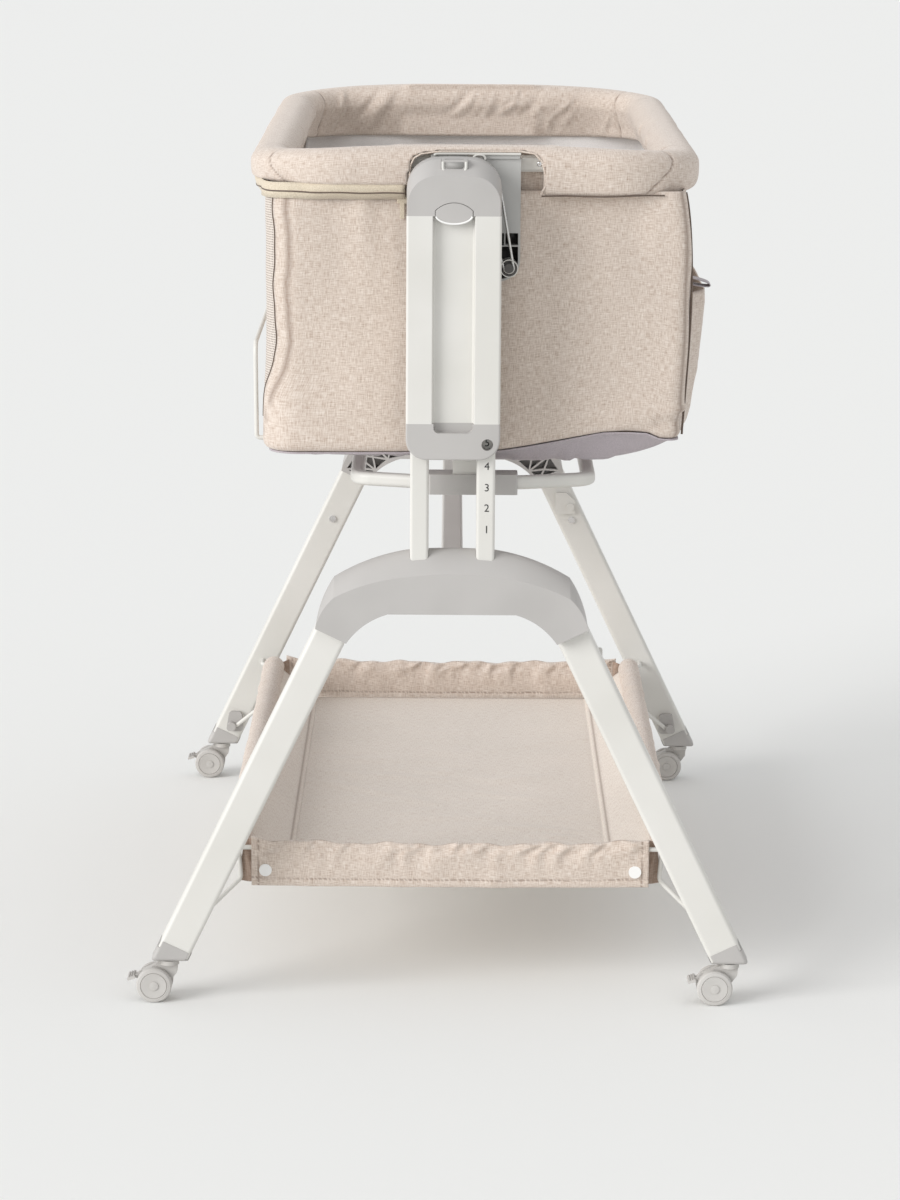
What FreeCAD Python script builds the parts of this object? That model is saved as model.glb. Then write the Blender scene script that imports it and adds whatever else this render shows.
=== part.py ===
import FreeCAD, Part
import math
import os

V3 = FreeCAD.Vector
Z_AXIS = V3(0, 0, 1)

# Gliding bedside crib on a two-ended stand, millimetres, +Z up.
# X runs across the crib, Y along it, the floor is Z = 0 and the stand's middle is X = Y = 0.
# The near end is at -Y. Near pieces are drawn at -Y, far pieces are the same turned half a turn.

SIZES = [
    # stand
    ("end_plane", 433, "leg, post and caster plane, from the middle"),
    ("foot_half_span", 278, "leg centre to the middle, at the foot's underside"),
    ("foot_level", 42, "underside of the leg feet"),
    ("foot_seam_level", 57, "joint between leg and foot, on the leg's centre line"),
    ("leg_top_level", 376, "joint between leg and arch, on the leg's centre line"),
    ("leg_lean", 25.7, "lean of the legs from upright, degrees"),
    ("leg_width", 33, "flat leg tube, across"),
    ("leg_depth", 22, "flat leg tube, along the crib"),
    ("leg_wall", 1.6, "leg tube wall"),
    ("leg_round", 4, "leg tube corner radius"),
    ("leg_insert", 18, "leg tube inside foot or arch"),
    ("fit_gap", 0.25, "gap of a fixed seat"),
    ("slide_gap", 0.4, "gap of a sliding seat"),
    ("arch_depth", 50, "arch cover along the crib"),
    ("arch_front", 456, "outer face of the arch cover, from the middle"),
    ("arch_top_level", 459, "crest of the arch cover"),
    ("arch_crest_brow_fall", 1.5, "fall of the crest from its top to the brows"),
    ("arch_crest_shoulder_fall", 29, "fall of the crest from its top to the shoulders"),
    ("arch_face_level", 438, "top of the arch's outer face"),
    ("arch_face_brow_fall", 3, "fall of the outer face from its top to the brows"),
    ("arch_face_shoulder_fall", 24, "fall of the outer face from its top to the shoulders"),
    ("arch_brow_half", 41, "half width between the brows"),
    ("arch_shoulder_half", 114.5, "half width between the shoulders"),
    ("arch_bulge", 4, "swell of the arch's curved flanks"),
    ("arch_inner_level", 398, "flat underside of the arch"),
    ("arch_flat_half", 62, "half length of the flat underside"),
    ("arch_rim", 3.2, "edge wall of the arch cover"),
    ("rib_depth", 14, "depth of the ribbed hollows on the arch's inner side"),
    ("rib_web", 2, "thickness of the arch's ribs"),
    ("post_spacing", 64, "between the centres of the two height posts"),
    ("post_width", 18, "height post across"),
    ("post_depth", 26, "height post along the crib"),
    ("post_wall", 1.5, "height post wall"),
    ("post_round", 3, "height post corner radius"),
    ("post_seat_level", 424, "lower end of the posts in the arch"),
    ("post_top_level", 690, "upper end of the posts, inside the column"),
    ("beam_width", 22, "stretcher beam across"),
    ("beam_height", 18, "stretcher beam upright"),
    ("beam_level", 409.5, "stretcher beam centre"),
    ("beam_wall", 1.5, "stretcher beam wall"),
    ("beam_insert", 12, "stretcher beam inside each arch"),
    # basket
    ("basket_floor_level", 108, "underside of the basket cloth"),
    ("basket_cloth_wall", 2.5, "basket cloth thickness"),
    ("basket_floor_half", 163, "half width of the basket floor"),
    ("basket_end_plane", 402, "basket end hem, from the middle"),
    ("hem_top_level", 157, "top of the basket's end hem"),
    ("hem_thickness", 9, "folded end hem with the crossbar in it"),
    ("hem_half_width", 198, "half width of the end hem"),
    ("bow_half_span", 212, "side bow's long run to the middle"),
    ("bow_level", 152, "side bow's long run"),
    ("bow_end_plane", 386, "side bow's end, from the middle"),
    ("sleeve_radius", 12, "padded sleeve round the side bow"),
    ("rod_radius", 2.3, "basket rods"),
    ("crossbar_level", 147, "basket crossbar"),
    ("bracket_level", 68, "bow bracket on the leg"),
    ("bow_corner_level", 113, "lower corner of the side bow"),
    # casters
    ("wheel_radius", 17.6, "caster wheel"),
    ("wheel_width", 8.6, "one of the twin wheels"),
    ("wheel_gap", 11, "between the twin wheels"),
    ("caster_trail", 15, "wheel axle behind the swivel axis"),
    ("axle_radius", 2.5, "caster axle"),
    ("axle_gap", 0.06, "running gap on axles and pins"),
    ("stem_radius", 4, "caster stem in the foot"),
    ("stem_length", 12, "caster stem in the foot"),
    ("collar_radius", 9.5, "caster collar under the foot"),
    ("pedal_pin_radius", 1.6, "brake pedal pin"),
    # height carriage
    ("column_half_width", 45.2, "column half width"),
    ("column_front", 458, "outer face of the column, from the middle"),
    ("column_back", 411, "inner face of the column, from the middle"),
    ("column_bevel", 2.5, "bevel round the column's outer face"),
    ("shell_bottom_level", 585, "joint between column shell and foot cap"),
    ("shell_top_level", 784, "joint between column shell and top cap"),
    ("foot_cap_level", 550, "underside of the foot cap"),
    ("foot_cap_round", 20, "foot cap's corner radius"),
    ("cap_top_level", 836, "top of the top cap"),
    ("cap_face_level", 822, "top of the top cap's outer face"),
    ("cap_slope_depth", 18, "top cap's sloping edge, along the crib"),
    ("cap_round", 30, "top cap's corner radius"),
    ("channel_half_width", 18.7, "finger channel half width"),
    ("channel_depth", 9, "finger channel depth"),
    ("channel_bottom_level", 576, "lower end of the finger channel"),
    ("window_radius", 5.6, "number window in the foot cap"),
    ("window_level", 565, "number window centre"),
    ("button_top_level", 797, "top of the release button"),
    ("button_height", 21, "release button height"),
    ("button_thickness", 5, "release button thickness"),
    ("latch_half_width", 12.4, "swing latch cup half width"),
    ("latch_depth", 11, "swing latch cup along the crib"),
    ("latch_height", 16, "swing latch cup height"),
    ("latch_wall", 3, "swing latch cup wall"),
    ("latch_travel", 5, "swing latch travel"),
    # swing links
    ("link_length", 77, "between the two pivots of a swing link"),
    ("swing_shift", 20, "bassinet's sideways place at rest"),
    ("link_half_spacing", 33, "swing links to the column's middle"),
    ("hub_level", 803, "upper pivot of the swing links"),
    ("hub_radius", 10, "upper hub that a link hangs on"),
    ("hub_flange", 12.5, "radius of the hub's flange"),
    ("flange_thickness", 1.2, "hub flange thickness"),
    ("link_pin_radius", 3, "lower pin that a link carries"),
    ("wire_radius", 1.3, "swing link wire"),
    ("wire_plane", 406.2, "swing link wire, from the middle"),
    ("disc_radius", 8.3, "disc behind the lower pin"),
    # bassinet
    ("bracket_half_width", 43.7, "end bracket half width"),
    ("bracket_back", 386.5, "end bracket's inner face, from the middle"),
    ("bracket_front", 398, "end bracket's outer face, from the middle"),
    ("bracket_top_level", 834, "end bracket's top"),
    ("bracket_bottom_level", 715, "end bracket's underside"),
    ("bracket_wall", 2, "end bracket's edge wall"),
    ("bracket_rail", 3.5, "rail along the end bracket's top"),
    ("pocket_top_level", 762, "top of the bracket's link pocket"),
    ("rim_half_width", 218, "padded rim to its own middle, across"),
    ("rim_half_length", 402.5, "padded rim to its own middle, along"),
    ("rim_top_level", 844, "top of the padded rim"),
    ("rim_height", 47, "padded rim height"),
    ("rim_thickness", 38, "padded rim thickness"),
    ("rim_corner", 95, "padded rim corner radius in plan"),
    ("rim_crown", 16, "padded rim's top edge radius"),
    ("rim_cut_half", 63.5, "half width of the rim's cut-out at a bracket"),
    ("rim_tube_height", 16, "rim tube section height"),
    ("rim_tube_width", 14, "rim tube section width"),
    ("rim_tube_bevel", 2.5, "rim tube's bevelled edges"),
    ("rim_tube_level", 827, "rim tube centre"),
    ("rim_tube_inset", 23.4, "rim tube centre inside the rim's outer face"),
    ("wall_half_width", 204, "cloth walls to the bassinet's middle, across"),
    ("wall_half_length", 386, "cloth walls to the bassinet's middle, along"),
    ("wall_thickness", 3, "cloth wall thickness"),
    ("wall_corner", 34, "cloth wall corner radius in plan"),
    ("tub_bottom_level", 543, "underside of the cloth walls"),
    ("tub_rise", 30, "rise of the cloth's lower edge towards the right"),
    ("tub_rise_start", 40, "where the lower edge starts to rise"),
    ("base_sag", 10, "base cloth below the walls"),
    ("mesh_half_length", 346, "half length of the mesh side"),
    ("mesh_bottom_level", 580, "lower edge of the mesh side"),
    ("board_thickness", 6, "floor board"),
    ("board_inset", 12, "floor board inside the cloth walls"),
    ("mattress_thickness", 38, "mattress at its edge"),
    ("mattress_crown", 6, "mattress crown above its edge"),
    ("mattress_draw", 7, "mattress sides drawn in at top and bottom"),
    ("loop_half_width", 121, "lower loop to the bassinet's middle, across"),
    ("loop_half_length", 386, "lower loop's bowed ends, from the middle"),
    ("loop_bow", 22, "bow of the lower loop's ends"),
    ("loop_level", 514.5, "lower loop centre"),
    ("loop_height", 13, "lower loop section height"),
    ("loop_width", 14, "lower loop section width"),
    ("loop_round", 4.5, "lower loop section's corner radius"),
    ("loop_corner", 26, "lower loop corner radius"),
    ("sleeve_half", 43.5, "loop sleeve half length"),
    ("sleeve_height", 20, "loop sleeve height"),
    ("strap_half_width", 20, "end strap half width"),
    ("strap_thickness", 3, "end strap thickness"),
    ("guard_radius", 2.2, "guard wire"),
    ("guard_half_length", 352, "guard wire's half length"),
    ("guard_top_level", 647, "guard wire's top run"),
    ("guard_foot_level", 553, "guard wire's lower ends"),
    ("guard_stand_off", 10, "guard wire's top run outside the mesh"),
    ("guard_bend", 12, "guard wire bend radius"),
    ("pocket_half_length", 335, "side pocket half length"),
    ("pocket_upper_level", 697, "side pocket's open top"),
    ("pocket_lower_level", 590, "side pocket's lower edge"),
    ("pocket_bulge", 20, "side pocket's mouth depth"),
    ("tab_level", 700, "webbing tab"),
    ("zip_level", 797, "zip line under the rim"),
    ("zip_eye_radius", 1.2, "round eye of the zip puller"),
]

doc = FreeCAD.newDocument("bedside_crib")
sheet = doc.addObject("Spreadsheet::Sheet", "sizes")
for row, (alias, value, meaning) in enumerate(SIZES, start=1):
    sheet.set("A%d" % row, meaning)
    sheet.set("B%d" % row, str(value))
    sheet.setAlias("B%d" % row, alias)
doc.recompute()


def size(alias):
    return float(sheet.get(alias))


# ---------------------------------------------------------------- drawing helpers


def bind(obj, **expressions):
    """Bind properties to the sheet. A double underscore stands for a dot."""
    for key, text in expressions.items():
        obj.setExpression(key.replace("__", "."), text)
    return obj


def rounded(points, radii=0.0):
    """Closed outline of lines with an arc of the given radius at each corner."""
    count = len(points)
    if not isinstance(radii, (list, tuple)):
        radii = [radii] * count
    starts, ends, arcs = [], [], []
    for i, corner in enumerate(points):
        into = (corner - points[i - 1]).normalize()
        out = (points[(i + 1) % count] - corner).normalize()
        turn = into.getAngle(out)
        reach = radii[i] * math.tan(turn / 2)
        first = corner - into * reach
        last = corner + out * reach
        starts.append(first)
        ends.append(last)
        if reach < 1e-6:
            arcs.append(None)
            continue
        bisector = (out - into).normalize()
        middle = corner + bisector * radii[i] * (1 / math.cos(turn / 2) - 1)
        arcs.append(Part.Arc(first, middle, last))
    edges = []
    for i in range(count):
        if arcs[i] is not None:
            edges.append(arcs[i])
        following = starts[(i + 1) % count]
        if (following - ends[i]).Length > 1e-6:
            edges.append(Part.LineSegment(ends[i], following))
    return edges


def rectangle(half_x, half_y, middle_x=0.0, middle_y=0.0):
    return [
        V3(middle_x - half_x, middle_y - half_y, 0),
        V3(middle_x + half_x, middle_y - half_y, 0),
        V3(middle_x + half_x, middle_y + half_y, 0),
        V3(middle_x - half_x, middle_y + half_y, 0),
    ]


def circle(radius, x=0.0, y=0.0):
    return [Part.Circle(V3(x, y, 0), Z_AXIS, radius)]


def new_body(name):
    return doc.addObject("PartDesign::Body", name)


def draw(body, name, role, outlines, level=None):
    """A sketch on one of the body's origin planes, moved along the plane's normal."""
    sketch = body.newObject("Sketcher::SketchObject", body.Name + "_" + name)
    plane = [f for f in body.Origin.OriginFeatures if f.Role == role][0]
    sketch.AttachmentSupport = [(plane, "")]
    sketch.MapMode = "FlatFace"
    if level is not None:
        sketch.setExpression("AttachmentOffset.Base.z", level)
    for outline in outlines:
        for edge in outline:
            sketch.addGeometry(edge, False)
    return sketch


def chamfer(body, depth, wanted):
    doc.recompute()
    base = body.Tip
    names = edge_names(base.Shape, wanted)
    if not names:
        raise RuntimeError("no edges to bevel on " + body.Name)
    feature = body.newObject("PartDesign::Chamfer", base.Name + "_bevel")
    feature.Base = (base, names)
    feature.setExpression("Size", depth)
    body.Tip = feature
    return feature


def pad(body, sketch, length, backward=False, symmetric=False):
    feature = body.newObject("PartDesign::Pad", sketch.Name + "_pad")
    feature.Profile = sketch
    feature.Reversed = backward
    feature.Midplane = symmetric
    feature.setExpression("Length", length)
    body.Tip = feature
    return feature


def pocket(body, sketch, length, backward=False, symmetric=False):
    doc.recompute()
    before = body.Shape.Volume
    feature = body.newObject("PartDesign::Pocket", sketch.Name + "_pocket")
    feature.Profile = sketch
    feature.Reversed = backward
    feature.Midplane = symmetric
    feature.setExpression("Length", length)
    body.Tip = feature
    doc.recompute()
    if body.Shape.Volume > before - 0.5:
        raise RuntimeError("pocket cuts nothing: " + sketch.Name)
    return feature


def edge_names(shape, wanted):
    return ["Edge%d" % (i + 1) for i, edge in enumerate(shape.Edges) if wanted(edge)]


def fillet(body, radius, wanted):
    doc.recompute()
    base = body.Tip
    names = edge_names(base.Shape, wanted)
    if not names:
        raise RuntimeError("no edges to round on " + body.Name)
    feature = body.newObject("PartDesign::Fillet", base.Name + "_round")
    feature.Base = (base, names)
    feature.setExpression("Radius", radius)
    body.Tip = feature
    return feature


def place(obj, x="0", y="0", z="0", turn=0.0, axis=Z_AXIS):
    """Placement bound to the sheet; turn is in degrees about axis."""
    obj.Placement = FreeCAD.Placement(V3(), FreeCAD.Rotation(axis, turn))
    obj.setExpression("Placement.Base.x", x)
    obj.setExpression("Placement.Base.y", y)
    obj.setExpression("Placement.Base.z", z)
    return obj


PIECES = []


def keep(obj, label):
    obj.Label = label
    PIECES.append(obj)
    return obj


def group(label, pieces):
    """Separate solids of one kind kept under one name."""
    doc.recompute()
    feature = doc.addObject("Part::Compound", label)
    feature.Links = pieces
    return keep(feature, label)


def feature_of(name, shape):
    feature = doc.addObject("Part::Feature", name)
    feature.Shape = shape
    return feature


def ends(build, near_label, far_label):
    """The near piece, and the far one turned half a turn about Z."""
    keep(build(near_label), near_label)
    keep(place(build(far_label), turn=180), far_label)


def wire_path(points, radii):
    """Open path of straight runs joined by tangent arcs."""
    edges = []
    here = points[0]
    for i in range(1, len(points) - 1):
        corner = points[i]
        into = (corner - points[i - 1]).normalize()
        out = (points[i + 1] - corner).normalize()
        turn = into.getAngle(out)
        radius = radii if not isinstance(radii, (list, tuple)) else radii[i - 1]
        reach = radius * math.tan(turn / 2)
        first = corner - into * reach
        last = corner + out * reach
        middle = corner + (out - into).normalize() * radius * (1 / math.cos(turn / 2) - 1)
        edges.append(Part.LineSegment(here, first).toShape())
        edges.append(Part.Arc(first, middle, last).toShape())
        here = last
    edges.append(Part.LineSegment(here, points[-1]).toShape())
    return Part.Wire(edges)


def rod(path, radius):
    start = path.Edges[0].valueAt(path.Edges[0].FirstParameter)
    along = path.Edges[0].tangentAt(path.Edges[0].FirstParameter)
    section = Part.Wire(Part.makeCircle(radius, start, along))
    return path.makePipeShell([section], True, True)


# ---------------------------------------------------------------- places worked out once

LEAN = math.radians(size("leg_lean"))
LEG_SLOPE = math.tan(LEAN)
REST_SWING = math.asin(size("swing_shift") / size("link_length"))
DISC_LEVEL = size("hub_level") - size("link_length") * math.cos(REST_SWING)


def leg_centre(level):
    """Distance of the leg's centre line from the middle, at a height."""
    return size("foot_half_span") - (level - size("foot_level")) * LEG_SLOPE


# ---------------------------------------------------------------- stand


def section_tube(name, width, depth, wall, corner, length):
    """Upright flat tube about its own Z axis, from Z = 0."""
    body = new_body(name)
    outer = rounded(rectangle(width / 2, depth / 2), corner)
    inner = rounded(rectangle(width / 2 - wall, depth / 2 - wall), max(corner - wall, 0.4))
    pad(body, draw(body, "section", "XY_Plane", [outer, inner]), length)
    return body


def leg(name, side, end):
    """One leg tube; side and end are -1 or +1. It starts inside its foot."""
    run = "(sizes.leg_top_level - sizes.foot_seam_level) / cos(sizes.leg_lean * 1deg)"
    body = section_tube(
        name,
        size("leg_width"),
        size("leg_depth"),
        size("leg_wall"),
        size("leg_round"),
        run + " + sizes.leg_insert * 1.4",
    )
    low = size("foot_seam_level") - 0.4 * size("leg_insert") * math.cos(LEAN)
    body.Placement = FreeCAD.Placement(
        V3(side * leg_centre(low), end * size("end_plane"), low),
        FreeCAD.Rotation(V3(0, 1, 0), -side * size("leg_lean")),
    )
    return keep(body, name)


def leg_foot(name, side, end):
    """Wedge cap under a leg: a leg-shaped socket above, a stem hole below."""
    half = size("leg_width") / 2 + 0.4
    slant = half / math.cos(LEAN)
    low = size("foot_level")
    seam = size("foot_seam_level")
    rise = half * math.sin(LEAN)
    across = half * math.cos(LEAN)
    outline = [
        V3(side * (leg_centre(low) + slant), low, 0),
        V3(side * (leg_centre(seam) + across), seam + rise, 0),
        V3(side * (leg_centre(seam) - across), seam - rise, 0),
        V3(side * (leg_centre(low) - slant), low, 0),
    ]
    body = new_body(name)
    shape = draw(body, "outline", "XZ_Plane", [rounded(outline, [2.5, 0, 0, 2.5])])
    pad(body, shape, "sizes.leg_depth + 1", symmetric=True)
    fillet(body, "sizes.leg_round", lambda e: e.Length > 9 and leg_parallel(e, side))
    stem_bore = circle(size("stem_radius") + size("axle_gap"), side * leg_centre(low))
    stem = draw(body, "stem", "XY_Plane", [stem_bore])
    stem.setExpression("AttachmentOffset.Base.z", "sizes.foot_level")
    pocket(body, stem, "sizes.stem_length + 1", backward=True)
    place(body, y="%d * sizes.end_plane" % end)
    doc.recompute()
    tool = foot_socket(name + "_socket", side, end)
    cut = doc.addObject("Part::Cut", name + "_cut")
    cut.Base = body
    cut.Tool = tool
    return cut


def leg_parallel(edge, side):
    if len(edge.Vertexes) < 2 or not isinstance(edge.Curve, Part.Line):
        return False
    along = edge.tangentAt(edge.FirstParameter)
    return abs(abs(along.z) - math.cos(LEAN)) < 0.01 and abs(along.y) < 0.01


def foot_socket(name, side, end):
    """Room for the leg tube's lower end."""
    gap = size("fit_gap")
    low = size("foot_seam_level") - 0.4 * size("leg_insert") * math.cos(LEAN)
    box = doc.addObject("Part::Box", name)
    bind(
        box,
        Length="sizes.leg_width + 2 * sizes.fit_gap",
        Width="sizes.leg_depth + 2 * sizes.fit_gap",
        Height="sizes.leg_insert * 2",
    )
    turn = FreeCAD.Rotation(V3(0, 1, 0), -side * size("leg_lean"))
    corner = V3(-size("leg_width") / 2 - gap, -size("leg_depth") / 2 - gap, -gap)
    base = V3(side * leg_centre(low), end * size("end_plane"), low)
    box.Placement = FreeCAD.Placement(base + turn.multVec(corner), turn)
    return box


def arch_seam(inner, shift=0.0):
    """Corner of the arch's end face on the right, inside or outside of the leg."""
    half = size("leg_width") / 2 + 0.2 - shift
    sign = -1 if inner else 1
    level = size("leg_top_level")
    x = leg_centre(level) + sign * half * math.cos(LEAN)
    return V3(x, level + sign * half * math.sin(LEAN), 0)


def swollen(start, stop, swell):
    """Arc between two points, swelling to the left of the way from start to stop."""
    along = (stop - start).normalize()
    middle = (start + stop) * 0.5 + V3(-along.y, along.x, 0) * swell
    return Part.Arc(start, middle, stop)


def arch_outline(top, brow_fall, shoulder_fall):
    """Arch outline in X and Z: two end faces, a swelling back and a flat underside."""
    outer = arch_seam(False)
    inner = arch_seam(True)
    flat = size("arch_flat_half")
    low = size("arch_inner_level")
    shoulder = V3(size("arch_shoulder_half"), top - shoulder_fall, 0)
    brow = V3(size("arch_brow_half"), top - brow_fall, 0)
    haunch = V3((inner.x + flat) / 2 - 1, (inner.y + low) / 2 + 6, 0)
    swell = -size("arch_bulge")

    def mirror(p):
        return V3(-p.x, p.y, 0)

    return [
        swollen(outer, shoulder, swell * 0.7),
        swollen(shoulder, brow, swell),
        Part.Arc(brow, V3(0, top, 0), mirror(brow)),
        swollen(mirror(brow), mirror(shoulder), swell),
        swollen(mirror(shoulder), mirror(outer), swell * 0.7),
        Part.LineSegment(mirror(outer), mirror(inner)),
        Part.Arc(mirror(inner), mirror(haunch), V3(-flat, low, 0)),
        Part.LineSegment(V3(-flat, low, 0), V3(flat, low, 0)),
        Part.Arc(V3(flat, low, 0), haunch, inner),
        Part.LineSegment(inner, outer),
    ]


def inset_triangle(a, b, c, web):
    """The triangle drawn in by half a web on every side, or nothing where it is too small."""
    sides = [(b - c).Length, (c - a).Length, (a - b).Length]
    total = sum(sides)
    middle = (a * sides[0] + b * sides[1] + c * sides[2]) * (1 / total)
    area = (b - a).cross(c - a).Length / 2
    inner_radius = 2 * area / total
    if inner_radius < web * 1.1:
        return None
    scale = 1 - (web / 2) / inner_radius
    return [middle + (p - middle) * scale for p in (a, b, c)]


def arch_hollows(side):
    """Triangular hollows between crossed ribs, from the leg's end up into the haunch."""
    rim = size("arch_rim")
    outer = arch_seam(False, rim) + V3(-LEG_SLOPE, 1, 0) * rim
    inner = arch_seam(True, rim) + V3(-LEG_SLOPE, 1, 0) * rim
    face = size("arch_face_level") - size("arch_face_shoulder_fall")
    low = size("arch_inner_level") + rim
    half = size("arch_shoulder_half")
    stations = [
        (outer, inner),
        (V3(half + 1, face - 11, 0), V3(half - 23, low - 17, 0)),
        (V3(half - 19, face + 2, 0), V3(half - 38, low - 4, 0)),
        (V3(half - 44, face + 9, 0), V3(half - 58, low, 0)),
    ]
    triangles = []
    for (o1, i1), (o2, i2) in zip(stations, stations[1:]):
        middle = (o1 + i1 + o2 + i2) * 0.25
        for a, b in ((o1, o2), (o2, i2), (i2, i1), (i1, o1)):
            corners = inset_triangle(a, b, middle, size("rib_web"))
            if corners is None:
                continue
            corners = [V3(side * p.x, p.y, 0) for p in corners]
            triangles.append([
                Part.LineSegment(corners[0], corners[1]),
                Part.LineSegment(corners[1], corners[2]),
                Part.LineSegment(corners[2], corners[0]),
            ])
    return triangles


def arch_cover(name):
    """Moulded cover over both legs: crowned back, ribbed hollows on its inner side."""
    face = arch_outline(size("arch_face_level"), size("arch_face_brow_fall"),
                        size("arch_face_shoulder_fall"))
    crest = arch_outline(size("arch_top_level"), size("arch_crest_brow_fall"),
                         size("arch_crest_shoulder_fall"))
    body = new_body(name)
    faces = [
        draw(body, "outer", "XZ_Plane", [face], "sizes.arch_front"),
        draw(body, "crest", "XZ_Plane", [crest], "sizes.arch_front - sizes.arch_depth / 2"),
        draw(body, "inner", "XZ_Plane", [face], "sizes.arch_front - sizes.arch_depth"),
    ]
    loft = body.newObject("PartDesign::AdditiveLoft", name + "_loft")
    loft.Profile = faces[0]
    loft.Sections = faces[1:]
    body.Tip = loft
    doc.recompute()
    hollows = draw(body, "hollows", "XZ_Plane", arch_hollows(-1) + arch_hollows(1),
                   "sizes.arch_front - sizes.arch_depth")
    pocket(body, hollows, "sizes.rib_depth", backward=True)
    beam = draw(
        body, "beam", "XZ_Plane",
        [rounded(rectangle(size("beam_width") / 2 + size("fit_gap"),
                           size("beam_height") / 2 + size("fit_gap"), 0, size("beam_level")), 3)],
        "sizes.arch_front - sizes.arch_depth",
    )
    pocket(body, beam, "sizes.beam_insert + sizes.fit_gap", backward=True)
    sockets = []
    for side in (-1, 1):
        points = rectangle(
            size("post_width") / 2 + size("fit_gap"), size("post_depth") / 2 + size("fit_gap"),
            side * size("post_spacing") / 2, -size("end_plane"),
        )
        sockets.append(rounded(points, size("post_round") + size("fit_gap")))
    posts = draw(body, "posts", "XY_Plane", sockets, "sizes.post_seat_level - sizes.fit_gap")
    pocket(body, posts, "sizes.arch_top_level - sizes.post_seat_level + 5", backward=True)
    return body


def arch(label, end):
    """Arch cover with the legs' sockets cut into it."""
    body = arch_cover(label + "_moulding")
    place(body, turn=0 if end < 0 else 180)
    doc.recompute()
    tools = []
    for side in (-1, 1):
        box = doc.addObject("Part::Box", "%s_socket_%s" % (label, "left" if side < 0 else "right"))
        bind(
            box,
            Length="sizes.leg_width + 2 * sizes.fit_gap",
            Width="sizes.leg_depth + 2 * sizes.fit_gap",
            Height="sizes.leg_insert * 2 + sizes.fit_gap",
        )
        base_level = size("leg_top_level") - size("leg_insert") * math.cos(LEAN)
        turn = FreeCAD.Rotation(V3(0, 1, 0), -side * size("leg_lean"))
        gap = size("fit_gap")
        corner = V3(-size("leg_width") / 2 - gap, -size("leg_depth") / 2 - gap, 0)
        base = V3(side * leg_centre(base_level), end * size("end_plane"), base_level)
        box.Placement = FreeCAD.Placement(base + turn.multVec(corner), turn)
        tools.append(box)
    both = doc.addObject("Part::MultiFuse", label + "_sockets")
    both.Shapes = tools
    cut = doc.addObject("Part::Cut", label)
    cut.Base = body
    cut.Tool = both
    return keep(cut, label)


def post_pair(name):
    tubes = []
    for side in (-1, 1):
        tube = section_tube(
            "%s_%s" % (name, "left" if side < 0 else "right"),
            size("post_width"), size("post_depth"), size("post_wall"), size("post_round"),
            "sizes.post_top_level - sizes.post_seat_level",
        )
        place(tube, "%d * sizes.post_spacing / 2" % side, "-sizes.end_plane", "sizes.post_seat_level")
        tubes.append(tube)
    doc.recompute()
    pair = doc.addObject("Part::Compound", name)
    pair.Links = tubes
    return pair


def stretcher_beam():
    body = new_body("stretcher_beam")
    outer = rounded(rectangle(size("beam_width") / 2, size("beam_height") / 2), 3)
    wall = size("beam_wall")
    inner = rounded(rectangle(size("beam_width") / 2 - wall, size("beam_height") / 2 - wall), 1.5)
    section = draw(body, "section", "XZ_Plane", [outer, inner])
    pad(body, section, "2 * (sizes.arch_front - sizes.arch_depth + sizes.beam_insert)", symmetric=True)
    place(body, z="sizes.beam_level")
    return keep(body, "stretcher_beam")


def strap_clip(name, end):
    """Moulded clip on the inner face of a right leg: a plate with a screw boss."""
    level = size("leg_top_level") - 32
    body = new_body(name)
    plate = [V3(-9, -14, 0), V3(15, -14, 0), V3(15, 2, 0), V3(4, 12, 0), V3(-9, 12, 0)]
    pad(body, draw(body, "plate", "XZ_Plane", [rounded(plate, 2)]), "4")
    pad(body, draw(body, "boss", "XZ_Plane", [circle(4.5, 9, -5)]), "7")
    body.Placement = FreeCAD.Placement(
        V3(leg_centre(level), end * (size("end_plane") - size("leg_depth") / 2) , level),
        FreeCAD.Rotation(V3(0, 1, 0), 0) if end > 0 else FreeCAD.Rotation(V3(1, 0, 0), 180),
    )
    return body


def leg_screws():
    """Domed screw heads on the legs' inner faces, just below the arch."""
    heads = []
    for end in (-1, 1):
        for side in (-1, 1):
            level = size("leg_top_level") - 54
            head = doc.addObject("Part::Cylinder", "leg_screw")
            bind(head, Radius="4")
            bind(head, Height="2")
            turn = FreeCAD.Rotation(V3(1, 0, 0), 90 * end)
            face = end * (size("end_plane") - size("leg_depth") / 2)
            head.Placement = FreeCAD.Placement(V3(side * leg_centre(level), face, level), turn)
            heads.append(head)
    return group("leg_screws", heads)


# ---------------------------------------------------------------- storage basket


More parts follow.
